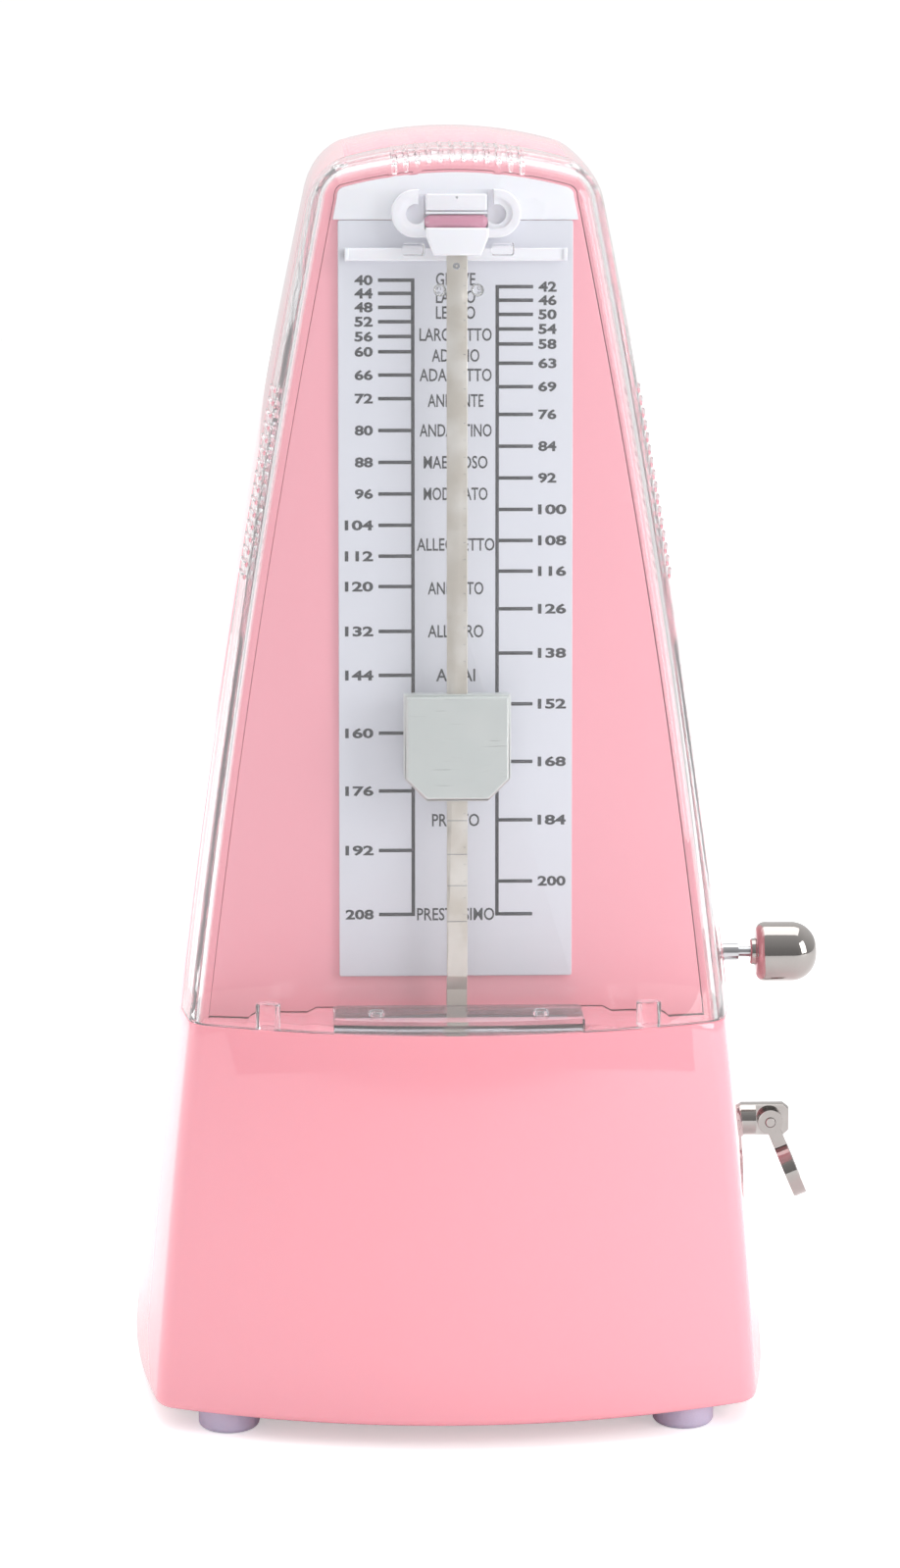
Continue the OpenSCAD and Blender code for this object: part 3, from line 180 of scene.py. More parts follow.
def close_loop(bm, pts):
    verts = [bm.verts.new(p) for p in pts]
    return [bm.edges.new((verts[k], verts[(k + 1) % len(verts)])) for k in range(len(verts))]


def form(inset=0.0, z0=FOOT_H, foot_round=0.0):
    """The case's form as a closed solid, drawn in by inset."""
    bm = bmesh.new()
    loops = []
    for k in range(FOOT_STEPS if foot_round else 0):
        t = math.pi / 2 * k / FOOT_STEPS
        z = z0 + foot_round * (1 - math.cos(t))
        loops.append([Vector((p.x, p.y, z)) for p in ring(z, inset + foot_round * (1 - math.sin(t)))])
    lift = z0 + foot_round
    loops += [level_ring(k / LEVEL_STEPS, 0, inset, lift) for k in range(LEVEL_STEPS + 1)]
    loops += [level_ring(1, math.pi / 2 * k / EDGE_STEPS, inset, lift) for k in range(1, EDGE_STEPS + 1)]
    edges = [close_loop(bm, pts) for pts in loops]
    for low, high in zip(edges, edges[1:]):
        bmesh.ops.bridge_loops(bm, edges=low + high)
    bmesh.ops.contextual_create(bm, geom=edges[0])
    top = edges[-1]
    front = [e for e in top if all(v.co.y < -TINY for v in e.verts)]
    back = [e for e in top if all(v.co.y > TINY for v in e.verts)]
    bmesh.ops.bridge_loops(bm, edges=front + back)
    open_top = [e for e in bm.edges if e.is_boundary]
    bmesh.ops.holes_fill(bm, edges=open_top, sides=0)
    bmesh.ops.recalc_face_normals(bm, faces=bm.faces)
    return bm


SEAM_AT = Vector((0, -SEAM_FRONT, LEDGE_Z))
SEAM_OUT = Vector((0, -math.cos(LEAN), math.sin(LEAN)))
PANEL = Matrix.Translation(SEAM_AT) @ Matrix.Rotation(math.pi / 2 - LEAN, 4, "X")

# ---------------------------------------------------------------- making pieces

scene = bpy.context.scene


def put(name, bm, body, material, stands_for=(), sharp=32, scale=MM):
    """Turns a bmesh in millimetres into a piece of the object."""
    if scale != 1:
        bmesh.ops.scale(bm, vec=(scale,) * 3, verts=bm.verts)
    mesh = bpy.data.meshes.new(name)
    bm.to_mesh(mesh)
    bm.free()
    obj = bpy.data.objects.new(name, mesh)
    scene.collection.objects.link(obj)
    mesh.materials.append(material)
    mesh.polygons.foreach_set("use_smooth", [True] * len(mesh.polygons))
    mesh.set_sharp_from_angle(angle=math.radians(sharp))
    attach(obj, body)
    if stands_for:
        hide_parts(*stands_for)
    return obj


def soften(obj, width, segments=3, angle=32):
    """Rounds a piece's hard edges by a width in millimetres."""
    b = obj.modifiers.new("soft_edges", "BEVEL")
    b.width = width * MM
    b.segments = segments
    b.limit_method = "ANGLE"
    b.angle_limit = math.radians(angle)
    b.harden_normals = True
    return obj


def merged_copy(node):
    """A CAD node's solid as a clean bmesh in metres."""
    bm = bmesh.new()
    bm.from_mesh(frame["nodes"][node].data)
    bmesh.ops.remove_doubles(bm, verts=bm.verts, dist=2e-6)
    bmesh.ops.dissolve_limit(bm, angle_limit=math.radians(1.0), verts=bm.verts, edges=bm.edges)
    return bm


def refine(node, body, material, edge=0.15, sharp=32, name=None):
    """Stands a softened copy in for a CAD node."""
    obj = put(name or node + "_piece", merged_copy(node), body, material, (node,), sharp, scale=1)
    if edge:
        soften(obj, edge, 2)
    return obj


def box(bm, lo, hi):
    """Adds a block between two corners."""
    made = bmesh.ops.create_cube(bm, size=1.0)["verts"]
    lo, hi = Vector(lo), Vector(hi)
    bmesh.ops.scale(bm, vec=hi - lo, verts=made)
    bmesh.ops.translate(bm, vec=(lo + hi) / 2, verts=made)


def round_edges(bm, edges, width, segments=3):
    bmesh.ops.bevel(bm, geom=edges, offset=width, segments=segments, profile=0.5, affect="EDGES",
                    material=-1, clamp_overlap=True)


def capsule(bm, a, b, r, around=12, rows=6):
    """Adds a round-ended rod between two points."""
    a, b = Vector(a), Vector(b)
    made = bmesh.ops.create_uvsphere(bm, u_segments=around, v_segments=rows, radius=r)["verts"]
    half = (b - a).length / 2
    for v in made:
        v.co.z += half if v.co.z > 0 else -half if v.co.z < -1e-6 else 0
    turn = (b - a).to_track_quat("Z", "Y").to_matrix().to_4x4()
    bmesh.ops.transform(bm, matrix=Matrix.Translation((a + b) / 2) @ turn, verts=made)


def lathe(bm, profile, axis_at, axis, steps=64):
    """Spins a profile of (radius, distance along the axis) into a closed round piece."""
    verts = [bm.verts.new((r, 0, h)) for r, h in profile]
    edges = [bm.edges.new(pair) for pair in zip(verts, verts[1:])]
    bmesh.ops.spin(bm, geom=verts + edges, cent=(0, 0, 0), axis=(0, 0, 1), angle=2 * math.pi,
                   steps=steps, use_merge=True)
    mine = [v for v in bm.verts if v.link_edges]
    bmesh.ops.remove_doubles(bm, verts=mine, dist=1e-5)
    bmesh.ops.recalc_face_normals(bm, faces=bm.faces)
    turn = Vector(axis).to_track_quat("Z", "Y").to_matrix().to_4x4()
    bmesh.ops.transform(bm, matrix=Matrix.Translation(Vector(axis_at)) @ turn, verts=bm.verts)


def arc(cx, cy, r, a0, a1, n):
    """Points of an arc, angles in degrees."""
    return [(cx + r * math.cos(math.radians(mix(a0, a1, k / n))),
             cy + r * math.sin(math.radians(mix(a0, a1, k / n)))) for k in range(n + 1)]


def circle(cx, cy, r):
    """Outline of a full round."""
    return arc(cx, cy, r, 0, 360 - 360 / ROUND_STEPS, ROUND_STEPS - 1)


def prism(bm, outline, low, high, matrix=Matrix()):
    """Adds a block of a flat outline, standing from low to high along its own Z."""
    verts = [bm.verts.new((x, y, low)) for x, y in outline]
    face = bm.faces.new(verts)
    grown = bmesh.ops.extrude_face_region(bm, geom=[face])["geom"]
    tops = [v for v in grown if isinstance(v, bmesh.types.BMVert)]
    bmesh.ops.translate(bm, vec=(0, 0, high - low), verts=tops)
    bmesh.ops.transform(bm, matrix=matrix, verts=verts + tops)
    bmesh.ops.recalc_face_normals(bm, faces=bm.faces)


def rounded(half_x, half_y, r, at=(0, 0), steps=6):
    """Outline of a rectangle with rounded corners."""
    cx, cy = at
    out = []
    for sx, sy, start in ((1, 1, 0), (-1, 1, 90), (-1, -1, 180), (1, -1, 270)):
        out += arc(cx + sx * (half_x - r), cy + sy * (half_y - r), r, start, start + 90, steps)
    return out


def soft_block(bm, outline, low, high, edge, matrix=Matrix(), both=False, segments=3):
    """A prism whose outer rim, at high, is rounded; at low too if both."""
    part = bmesh.new()
    prism(part, outline, low, high)
    levels = (low, high) if both else (high,)
    rims = [e for e in part.edges if any(all(abs(v.co.z - z) < TINY for v in e.verts) for z in levels)]
    round_edges(part, rims, edge, segments)
    bmesh.ops.transform(part, matrix=matrix, verts=part.verts)
    join(bm, part)


def join(bm, part):
    """Adds one bmesh to another and frees it."""
    mesh = bpy.data.meshes.new("part")
    part.to_mesh(mesh)
    part.free()
    bm.from_mesh(mesh)
    bpy.data.meshes.remove(mesh)


def loose(bm):
    """A helper object made of a bmesh, which is used up."""
    bmesh.ops.recalc_face_normals(bm, faces=bm.faces)
    mesh = bpy.data.meshes.new("helper")
    bm.to_mesh(mesh)
    bm.free()
    obj = bpy.data.objects.new("helper", mesh)
    scene.collection.objects.link(obj)
    return obj


def carve(base, *steps):
    """Cuts, joins or trims a bmesh by others, in order."""
    target = loose(base)
    helpers = []
    for operation, bm in steps:
        helpers.append(loose(bm))
        m = target.modifiers.new(operation, "BOOLEAN")
        m.operation = operation
        m.solver = "MANIFOLD"
        m.object = helpers[-1]
    bpy.context.view_layer.update()
    out = bmesh.new()
    out.from_object(target, bpy.context.evaluated_depsgraph_get())
    for obj in helpers + [target]:
        bpy.data.objects.remove(obj)
    bmesh.ops.remove_doubles(out, verts=out.verts, dist=1e-3)
    return out


# Turns a prism's own X, Y, Z into Y, Z, X, so that it lies across the object
ACROSS = Matrix(((0, 0, 1, 0), (1, 0, 0, 0), (0, 1, 0, 0), (0, 0, 0, 1)))
FAR = 300.0


def seam_space(back=0.0, down=0.0):
    """Everything in front of the seam and above the ledge."""
    shift = back / math.cos(LEAN)
    floor = LEDGE_Z - down
    bm = bmesh.new()
    prism(bm, [(seam_y(floor) + shift, floor), (seam_y(FAR) + shift, FAR), (-FAR, FAR), (-FAR, floor)],
          -FAR, FAR, ACROSS)
    return bm


def panel_slab(n0, n1, v0=0.0):
    """A slab along the seam plane, from n0 to n1 outwards and from v0 up."""
    bm = bmesh.new()
    prism(bm, [(-FAR, v0), (FAR, v0), (FAR, FAR), (-FAR, FAR)], n0, n1, PANEL)
    return bm


def bore(bm, x, y, z, r, length):
    """Adds a round cutter along X."""
    made = bmesh.ops.create_cone(bm, cap_ends=True, segments=48, radius1=r, radius2=r, depth=length)["verts"]
    bmesh.ops.transform(bm, matrix=Matrix.Translation((x, y, z)) @ Matrix.Rotation(math.pi / 2, 4, "Y"),
                        verts=made)


def crisp_edges(bm, tests, width, segments=2, sharpest=35):
    """Rounds the sharp edges whose two ends both pass one of the tests."""
    limit = math.radians(sharpest)
    edges = [e for e in bm.edges if len(e.link_faces) == 2 and e.calc_face_angle(0) > limit
             and any(test(e.verts[0].co) and test(e.verts[1].co) for test in tests)]
    round_edges(bm, edges, width, segments)


def on_seam(at=0.0):
    return lambda p: abs((p - SEAM_AT).dot(SEAM_OUT) - at) < 0.01


def at_height(z):
    return lambda p: abs(p.z - z) < 0.01


# ---------------------------------------------------------------- shared shader effects

def add(tree, kind, inputs=None, **settings):
    """Adds a shader node; inputs holds plain values or sockets to link from."""
    node = tree.nodes.new("ShaderNode" + kind)
    for key, value in settings.items():
        setattr(node, key, value)
    for key, value in (inputs or {}).items():
        if isinstance(value, bpy.types.NodeSocket):
            tree.links.new(value, node.inputs[key])
        else:
            node.inputs[key].default_value = value
    return node


def effect(name, takes, gives):
    """A new node group. takes lists (name, kind, value); gives lists (name, kind)."""
    tree = bpy.data.node_groups.new(name, "ShaderNodeTree")
    for label, kind, value in takes:
        socket = tree.interface.new_socket(label, in_out="INPUT", socket_type="NodeSocket" + kind)
        if value is not None:
            socket.default_value = value
    for label, kind in gives:
        tree.interface.new_socket(label, in_out="OUTPUT", socket_type="NodeSocket" + kind)
    return tree, tree.nodes.new("NodeGroupInput").outputs, tree.nodes.new("NodeGroupOutput").inputs


def fit_range(tree, value, lo, hi, to_lo=0.0, to_hi=1.0):
    return add(tree, "MapRange", {0: value, 1: lo, 2: hi, 3: to_lo, 4: to_hi}).outputs[0]


def arith(tree, operation, a, b):
    return add(tree, "Math", {0: a, 1: b}, operation=operation).outputs[0]


def make_mottle():
    """Slow and fine unevenness of a colour, as a multiplier round 1."""
    tree, i, o = effect("mottle",
                        [("Vector", "Vector", None), ("Scale", "Float", 30.0), ("Amount", "Float", 0.05)],
                        [("Shade", "Float")])
    slow = add(tree, "TexNoise", {"Vector": i["Vector"], "Scale": i["Scale"], "Detail": 2.0})
    fine_scale = arith(tree, "MULTIPLY", i["Scale"], 45.0)
    fine = add(tree, "TexNoise", {"Vector": i["Vector"], "Scale": fine_scale, "Detail": 1.0})
    both = arith(tree, "ADD", arith(tree, "MULTIPLY", slow.outputs[0], 0.7),
                 arith(tree, "MULTIPLY", fine.outputs[0], 0.3))
    centred = arith(tree, "SUBTRACT", both, 0.5)
    tree.links.new(arith(tree, "ADD", arith(tree, "MULTIPLY", centred, i["Amount"]), 1.0), o["Shade"])
    return tree


def make_handling():
    """Faint smears and hairlines from handling, as a roughness."""
    tree, i, o = effect("handling",
                        [("Vector", "Vector", None), ("Clean", "Float", 0.1), ("Smeared", "Float", 0.2)],
                        [("Roughness", "Float")])
    turned = add(tree, "Mapping", {"Vector": i["Vector"], "Rotation": (0.4, 0.3, 0.7),
                                   "Scale": (1.0, 3.5, 1.0)})
    smear = add(tree, "TexNoise", {"Vector": turned.outputs[0], "Scale": 24.0, "Detail": 4.0,
                                   "Distortion": 0.6})
    lines = add(tree, "Mapping", {"Vector": i["Vector"], "Rotation": (0.9, 0.2, 0.5),
                                  "Scale": (1.0, 60.0, 60.0)})
    hair = add(tree, "TexNoise", {"Vector": lines.outputs[0], "Scale": 30.0, "Detail": 1.0})
    mask = arith(tree, "ADD", fit_range(tree, smear.outputs[0], 0.5, 0.75),
                 fit_range(tree, hair.outputs[0], 0.68, 0.8, 0.0, 0.35))
    span = arith(tree, "SUBTRACT", i["Smeared"], i["Clean"])
    tree.links.new(arith(tree, "ADD", i["Clean"], arith(tree, "MULTIPLY", mask, span)), o["Roughness"])
    return tree


def make_edge_wear():
    """Where outer edges have rubbed, broken up by noise."""
    tree, i, o = effect("edge_wear", [("Vector", "Vector", None), ("Amount", "Float", 0.5)],
                        [("Mask", "Float")])
    shape = add(tree, "NewGeometry")
    edge = fit_range(tree, shape.outputs["Pointiness"], 0.52, 0.62)
    patches = add(tree, "TexNoise", {"Vector": i["Vector"], "Scale": 140.0, "Detail": 3.0})
    broken = fit_range(tree, patches.outputs[0], 0.42, 0.62)
    tree.links.new(arith(tree, "MULTIPLY", arith(tree, "MULTIPLY", edge, broken), i["Amount"]), o["Mask"])
    return tree


def make_moulding():
    """Height of a moulded surface: a long soft ripple with a very fine grain on it."""
    tree, i, o = effect("moulding", [("Vector", "Vector", None), ("Grain", "Float", 0.3)],
                        [("Height", "Float")])
    ripple = add(tree, "TexNoise", {"Vector": i["Vector"], "Scale": 45.0, "Detail": 1.0})
    grain = add(tree, "TexNoise", {"Vector": i["Vector"], "Scale": 2600.0, "Detail": 2.0})
    fine = arith(tree, "MULTIPLY", grain.outputs[0], i["Grain"])
    tree.links.new(arith(tree, "ADD", ripple.outputs[0], fine), o["Height"])
    return tree


def make_brushing():
    """Fine parallel lines, long along the direction with the smallest scale."""
    tree, i, o = effect("brushing", [("Vector", "Vector", None), ("Stretch", "Vector", (1.0, 1.0, 1.0))],
                        [("Value", "Float")])
    lines = add(tree, "VectorMath", {0: i["Vector"], 1: i["Stretch"]}, operation="MULTIPLY")
    noise = add(tree, "TexNoise", {"Vector": lines.outputs[0], "Scale": 1.0, "Detail": 3.0, "Roughness": 0.6})
    tree.links.new(fit_range(tree, noise.outputs[0], 0.3, 0.7), o["Value"])
    return tree


def make_dust():
    """A trace of dust on faces that look up."""
    tree, i, o = effect("settled_dust", [("Vector", "Vector", None), ("Amount", "Float", 0.1)],
                        [("Mask", "Float")])
    shape = add(tree, "NewGeometry")
    up = add(tree, "SeparateXYZ", {0: shape.outputs["Normal"]})
    specks = add(tree, "TexNoise", {"Vector": i["Vector"], "Scale": 700.0, "Detail": 4.0})
    lying = arith(tree, "MULTIPLY", fit_range(tree, up.outputs[2], 0.55, 1.0),
                  fit_range(tree, specks.outputs[0], 0.5, 0.72))
    tree.links.new(arith(tree, "MULTIPLY", lying, i["Amount"]), o["Mask"])
    return tree


MOTTLE, HANDLING, EDGE_WEAR = make_mottle(), make_handling(), make_edge_wear()
MOULDING, BRUSHING, DUST = make_moulding(), make_brushing(), make_dust()


def use(tree, shared, inputs):
    node = tree.nodes.new("ShaderNodeGroup")
    node.node_tree = shared
    for key, value in inputs.items():
        if isinstance(value, bpy.types.NodeSocket):
            tree.links.new(value, node.inputs[key])
        else:
            node.inputs[key].default_value = value
    return node.outputs[0]


# ---------------------------------------------------------------- materials

def tinted(tree, colour, factor, tint, mode="MIX"):
    """Mixes a colour towards a tint by a factor."""
    node = add(tree, "Mix", data_type="RGBA", blend_type=mode)
    for key, value in ((0, factor), (6, colour), (7, tint)):
        if isinstance(value, bpy.types.NodeSocket):
            tree.links.new(value, node.inputs[key])
        else:
            node.inputs[key].default_value = value
    return node.outputs[2]


def start(name):
    mat = bpy.data.materials.new(name)
    mat.use_nodes = True
    tree = mat.node_tree
    tree.nodes.clear()
    out = add(tree, "OutputMaterial")
    where = add(tree, "TexCoord").outputs["Object"]
    return mat, tree, out, where


def shade(tree, colour, amount, where, scale=30.0):
    """A colour darkened and lightened by the mottle."""
    value = use(tree, MOTTLE, {"Vector": where, "Scale": scale, "Amount": amount})
    grey = add(tree, "CombineColor", {0: value, 1: value, 2: value}).outputs[0]
    return tinted(tree, colour, 1.0, grey, "MULTIPLY")


def plastic(name, colour, clean=0.08, smeared=0.2, coat=0.5, grain=0.15, bump=0.02, dust=0.15, mottle=0.05,
            worn=(0.95, 0.9, 0.9, 1), wear=0.25, subsurface=0.0):
    mat, tree, out, where = start(name)
    base = shade(tree, colour, mottle, where)
    rubbed = use(tree, EDGE_WEAR, {"Vector": where, "Amount": wear})
    base = tinted(tree, base, rubbed, worn)
    lint = use(tree, DUST, {"Vector": where, "Amount": dust})
    base = tinted(tree, base, lint, (0.86, 0.84, 0.82, 1))
    rough = use(tree, HANDLING, {"Vector": where, "Clean": clean, "Smeared": smeared})
    rough = arith(tree, "ADD", rough, arith(tree, "MULTIPLY", lint, 0.4))
    height = use(tree, MOULDING, {"Vector": where, "Grain": grain})
    normal = add(tree, "Bump", {"Height": height, "Strength": bump, "Distance": 0.0004}).outputs[0]
    skin = add(tree, "BsdfPrincipled", {"Base Color": base, "Roughness": rough, "Normal": normal,
                                        "Coat Weight": coat, "Coat Roughness": clean * 0.6, "IOR": 1.5,
                                        "Subsurface Weight": subsurface, "Subsurface Scale": 0.002})
    tree.links.new(skin.outputs[0], out.inputs[0])
    return mat


def metal(name, colour, clean=0.15, smeared=0.28, stretch=(400, 400, 400), bump=0.15, wear=0.4, mottle=0.1,
          bright=(0.95, 0.94, 0.92, 1), tarnish=None, metallic=1.0):
    mat, tree, out, where = start(name)
    base = shade(tree, colour, mottle, where, 60.0)
    if tarnish:
        spots = add(tree, "TexNoise", {"Vector": where, "Scale": 160.0, "Detail": 5.0}).outputs[0]
        base = tinted(tree, base, fit_range(tree, spots, 0.5, 0.8, 0.0, 0.5), tarnish)
    rubbed = use(tree, EDGE_WEAR, {"Vector": where, "Amount": wear})
    base = tinted(tree, base, rubbed, bright)
    lines = use(tree, BRUSHING, {"Vector": where, "Stretch": stretch})
    rough = use(tree, HANDLING, {"Vector": where, "Clean": clean, "Smeared": smeared})
    rough = arith(tree, "ADD", rough, fit_range(tree, lines, 0.0, 1.0, -0.03, 0.05))
    normal = add(tree, "Bump", {"Height": lines, "Strength": bump, "Distance": 0.00004}).outputs[0]
    skin = add(tree, "BsdfPrincipled", {"Base Color": base, "Roughness": rough, "Normal": normal,
                                        "Metallic": metallic})
    tree.links.new(skin.outputs[0], out.inputs[0])
    return mat


def clear_plastic(name):
    """Clear moulded plastic that lets soft light through to what stands behind it."""
    mat, tree, out, where = start(name)
    rough = use(tree, HANDLING, {"Vector": where, "Clean": 0.01, "Smeared": 0.06})
    height = use(tree, MOULDING, {"Vector": where, "Grain": 0.02})
    normal = add(tree, "Bump", {"Height": height, "Strength": 0.02, "Distance": 0.0003}).outputs[0]
    tint = shade(tree, (0.985, 0.99, 0.995, 1), 0.01, where)
    skin = add(tree, "BsdfPrincipled", {"Base Color": tint, "Roughness": rough, "Normal": normal,
                                        "Transmission Weight": 0.95, "IOR": 1.42, "Metallic": 0.0})
    through = add(tree, "BsdfTransparent", {"Color": (0.97, 0.975, 0.98, 1)})
    path = add(tree, "LightPath")
    soft = arith(tree, "MAXIMUM", path.outputs["Is Shadow Ray"], path.outputs["Is Diffuse Ray"])
    both = add(tree, "MixShader", {0: soft, 1: skin.outputs[0], 2: through.outputs[0]})
    tree.links.new(both.outputs[0], out.inputs[0])
    return mat


PINK = (0.94, 0.37, 0.435, 1)
M_CASE = plastic("pink_gloss", PINK, clean=0.07, smeared=0.1, coat=0.7, mottle=0.03, wear=0.0,
                 subsurface=0.06)
# The panel is the case's pink, lifted a little lighter as painted light where the clear cover shades it.
M_PANEL = plastic("pink_panel_painted_light", (0.97, 0.4, 0.47, 1), clean=0.1, smeared=0.16, coat=0.5, mottle=0.03,
                  wear=0.0)
M_BASE = plastic("pink_base", (0.86, 0.36, 0.43, 1), clean=0.45, smeared=0.6, coat=0, grain=0.9,
                 bump=0.25, dust=0)
# The roller's deep rose stands for the pink case that a glossy bar reflects: painted reflection, on top of its own
# gloss.
M_ROLLER_REFLECTION = plastic("rose_roller_painted_reflection", (0.66, 0.24, 0.36, 1), clean=0.05, smeared=0.12, coat=0.8)
M_PLATE = plastic("white_plate", (0.72, 0.725, 0.79, 1), clean=0.28, smeared=0.4, coat=0.25,
                  grain=0.5, bump=0.05)
M_WHITE = plastic("white_plastic", (0.9, 0.89, 0.94, 1), clean=0.2, smeared=0.32, coat=0.2, subsurface=0.08)
M_FEET = plastic("lavender_rubber", (0.56, 0.5, 0.66, 1), clean=0.38, smeared=0.55, coat=0, grain=0.8,
                 bump=0.2, subsurface=0.1)
M_INK = plastic("slate_ink", (0.02, 0.02, 0.028, 1), clean=0.5, smeared=0.6, coat=0.0, mottle=0.3, wear=0.0)
M_CAM = plastic("ivory_cam", (0.8, 0.78, 0.7, 1), clean=0.4, smeared=0.55, coat=0, grain=0.7, bump=0.15)
M_CLEAR = clear_plastic("clear_cover")
M_ROD = metal("rod_steel", (0.6, 0.55, 0.48, 1), clean=0.36, smeared=0.42, stretch=(9000, 500, 60), bump=0.12,
              mottle=0.05, metallic=0.55)
M_WEIGHT = metal("satin_alloy", (0.68, 0.72, 0.7, 1), clean=0.3, smeared=0.36, stretch=(180, 6000, 6000),
                 bump=0.06, mottle=0.03, metallic=0.5)
M_CHROME = metal("chrome", (0.4, 0.375, 0.36, 1), clean=0.05, smeared=0.12,
                 stretch=(2500, 300, 300), bump=0.02)
M_STEEL = metal("turned_steel", (0.56, 0.57, 0.59, 1), clean=0.18, smeared=0.3, stretch=(9000, 700, 700))
M_SPRING = metal("blued_spring", (0.13, 0.16, 0.26, 1), clean=0.2, smeared=0.34, stretch=(300, 5000, 5000),
                 tarnish=(0.22, 0.16, 0.1, 1))
M_BRASS = metal("brass", (0.75, 0.53, 0.21, 1), clean=0.14, smeared=0.3, stretch=(600, 4200, 4200),
                tarnish=(0.4, 0.25, 0.09, 1))
# Cast lead for the lead parts; the same dark grey also paints shade into the rod's notches and scored lines.
M_LEAD_AND_GROOVE_SHADE = metal("cast_lead_and_groove_shade", (0.2, 0.205, 0.22, 1), clean=0.45, smeared=0.6, stretch=(900, 900, 900), bump=0.5,
               tarnish=(0.3, 0.3, 0.32, 1))
M_ZINC = metal("zinc_plate", (0.58, 0.6, 0.62, 1), clean=0.24, smeared=0.36, stretch=(900, 900, 2500),
               bump=0.1, tarnish=(0.45, 0.44, 0.42, 1))

finishes = {"case": M_CASE, "panel": M_PANEL, "clear": M_CLEAR, "plate": M_PLATE, "white": M_WHITE,
            "feet": M_FEET, "base": M_BASE, "rod_steel": M_ROD, "weight": M_WEIGHT, "chrome": M_CHROME,
            "steel": M_STEEL, "spring": M_SPRING, "brass": M_BRASS, "lead": M_LEAD_AND_GROOVE_SHADE, "zinc": M_ZINC,
            "cam": M_CAM}
slot_of = {row["node"]: row["material_slot"] for row in frame["record"]["subparts"]}
for node, obj in frame["nodes"].items():
    for place in obj.material_slots:
        place.link = "OBJECT"
        place.material = finishes[slot_of[node]]

# ---------------------------------------------------------------- case

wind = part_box("winding_arbor")
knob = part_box("selector_knob")
WIND_Y, WIND_Z = ((wind[0][k] + wind[1][k]) / 2 / MM for k in (1, 2))
KNOB_Y, KNOB_Z = ((knob[0][k] + knob[1][k]) / 2 / MM for k in (1, 2))
KEY_HOLE_R, KNOB_HOLE_R = 4.0, 2.45
BORE_X, BORE_L = 60, 60

cavity = carve(form(WALL, FOOT_H - 1), ("DIFFERENCE", seam_space(RIM_T, WALL)))
window = carve(form(PANEL_INSET - PANEL_GAP), ("INTERSECT", panel_slab(-RIM_T - 1, 1)))
openings = bmesh.new()
bore(openings, BORE_X, WIND_Y, WIND_Z, KEY_HOLE_R, BORE_L)
bore(openings, BORE_X, KNOB_Y, KNOB_Z, KNOB_HOLE_R, BORE_L)
prism(openings, rounded(SLOT_HALF_W, (SLOT_DEPTH - 1.2) / 2, 1.5, (0, -SEAM_FRONT - (SLOT_DEPTH + 1.2) / 2)),
      LEDGE_Z - WALL - 1, LEDGE_Z + 1)
shell = carve(form(0, FOOT_H, BOTTOM_EDGE_R), ("DIFFERENCE", seam_space()), ("DIFFERENCE", cavity),
              ("DIFFERENCE", window), ("DIFFERENCE", openings))
crisp_edges(shell, (on_seam(), at_height(LEDGE_Z)), 0.35)
put("case_shell", shell, "case", M_CASE, ("housing",))

panel = carve(form(PANEL_INSET), ("INTERSECT", panel_slab(-RIM_T, 0, PANEL_GAP)))
crisp_edges(panel, (on_seam(),), 0.3)
put("panel_face", panel, "case", M_PANEL, ("front_panel",))

# ---------------------------------------------------------------- scale plate, bracket and rod clip

# Lengths up the panel (V), across it (X) and out of it (N)
PLATE_HALF_W, PLATE_FOOT, PLATE_TOP, PLATE_T = 20.0, 5.6, 135.4, 1.0
BOSS_V, BOSS_HALF_W, BOSS_HALF_H, BOSS_FACE = 136.5, 11.0, 4.1, 4.0
BAR_V0, BAR_V1, BAR_FACE, BAR_HALF_W = 128.5, 130.7, 3.2, 18.9
WEB_FACE = 1.6
CHANNEL_HALF_W, CHANNEL_V = 5.6, 133.7
FINGER_X, FINGER_R, FINGER_V = 6.5, 1.7, 136.5

plate = bmesh.new()
soft_block(plate, rounded(PLATE_HALF_W, (PLATE_TOP - PLATE_FOOT) / 2, 0.4, (0, (PLATE_TOP + PLATE_FOOT) / 2)),
           0, PLATE_T, 0.15, PANEL)
put("scale_face", plate, "case", M_PLATE, ("scale_plate",))


def stadium(half_w, half_h, at=(0, 0)):
    return rounded(half_w, half_h, half_h - 0.01, at, 14)


arch = carve(form(PANEL_INSET + 0.5), ("INTERSECT", panel_slab(0, PLATE_T, PLATE_TOP + 0.1)))
crisp_edges(arch, (on_seam(PLATE_T),), 0.2)
web = bmesh.new()
soft_block(web, rounded(BAR_HALF_W, (BAR_V1 - BAR_V0) / 2, 0.4, (0, (BAR_V0 + BAR_V1) / 2)),
           PLATE_T, BAR_FACE - 0.35, 0.3, PANEL)
for side in (-1, 1):
    end_at = (side * (BAR_HALF_W - 0.35), (BAR_V0 + BAR_V1) / 2)
    soft_block(web, rounded(0.35, (BAR_V1 - BAR_V0) / 2, 0.2, end_at), PLATE_T, BAR_FACE, 0.15, PANEL)
join(arch, web)
put("bracket_arch", arch, "case", M_WHITE, ("top_bracket",))

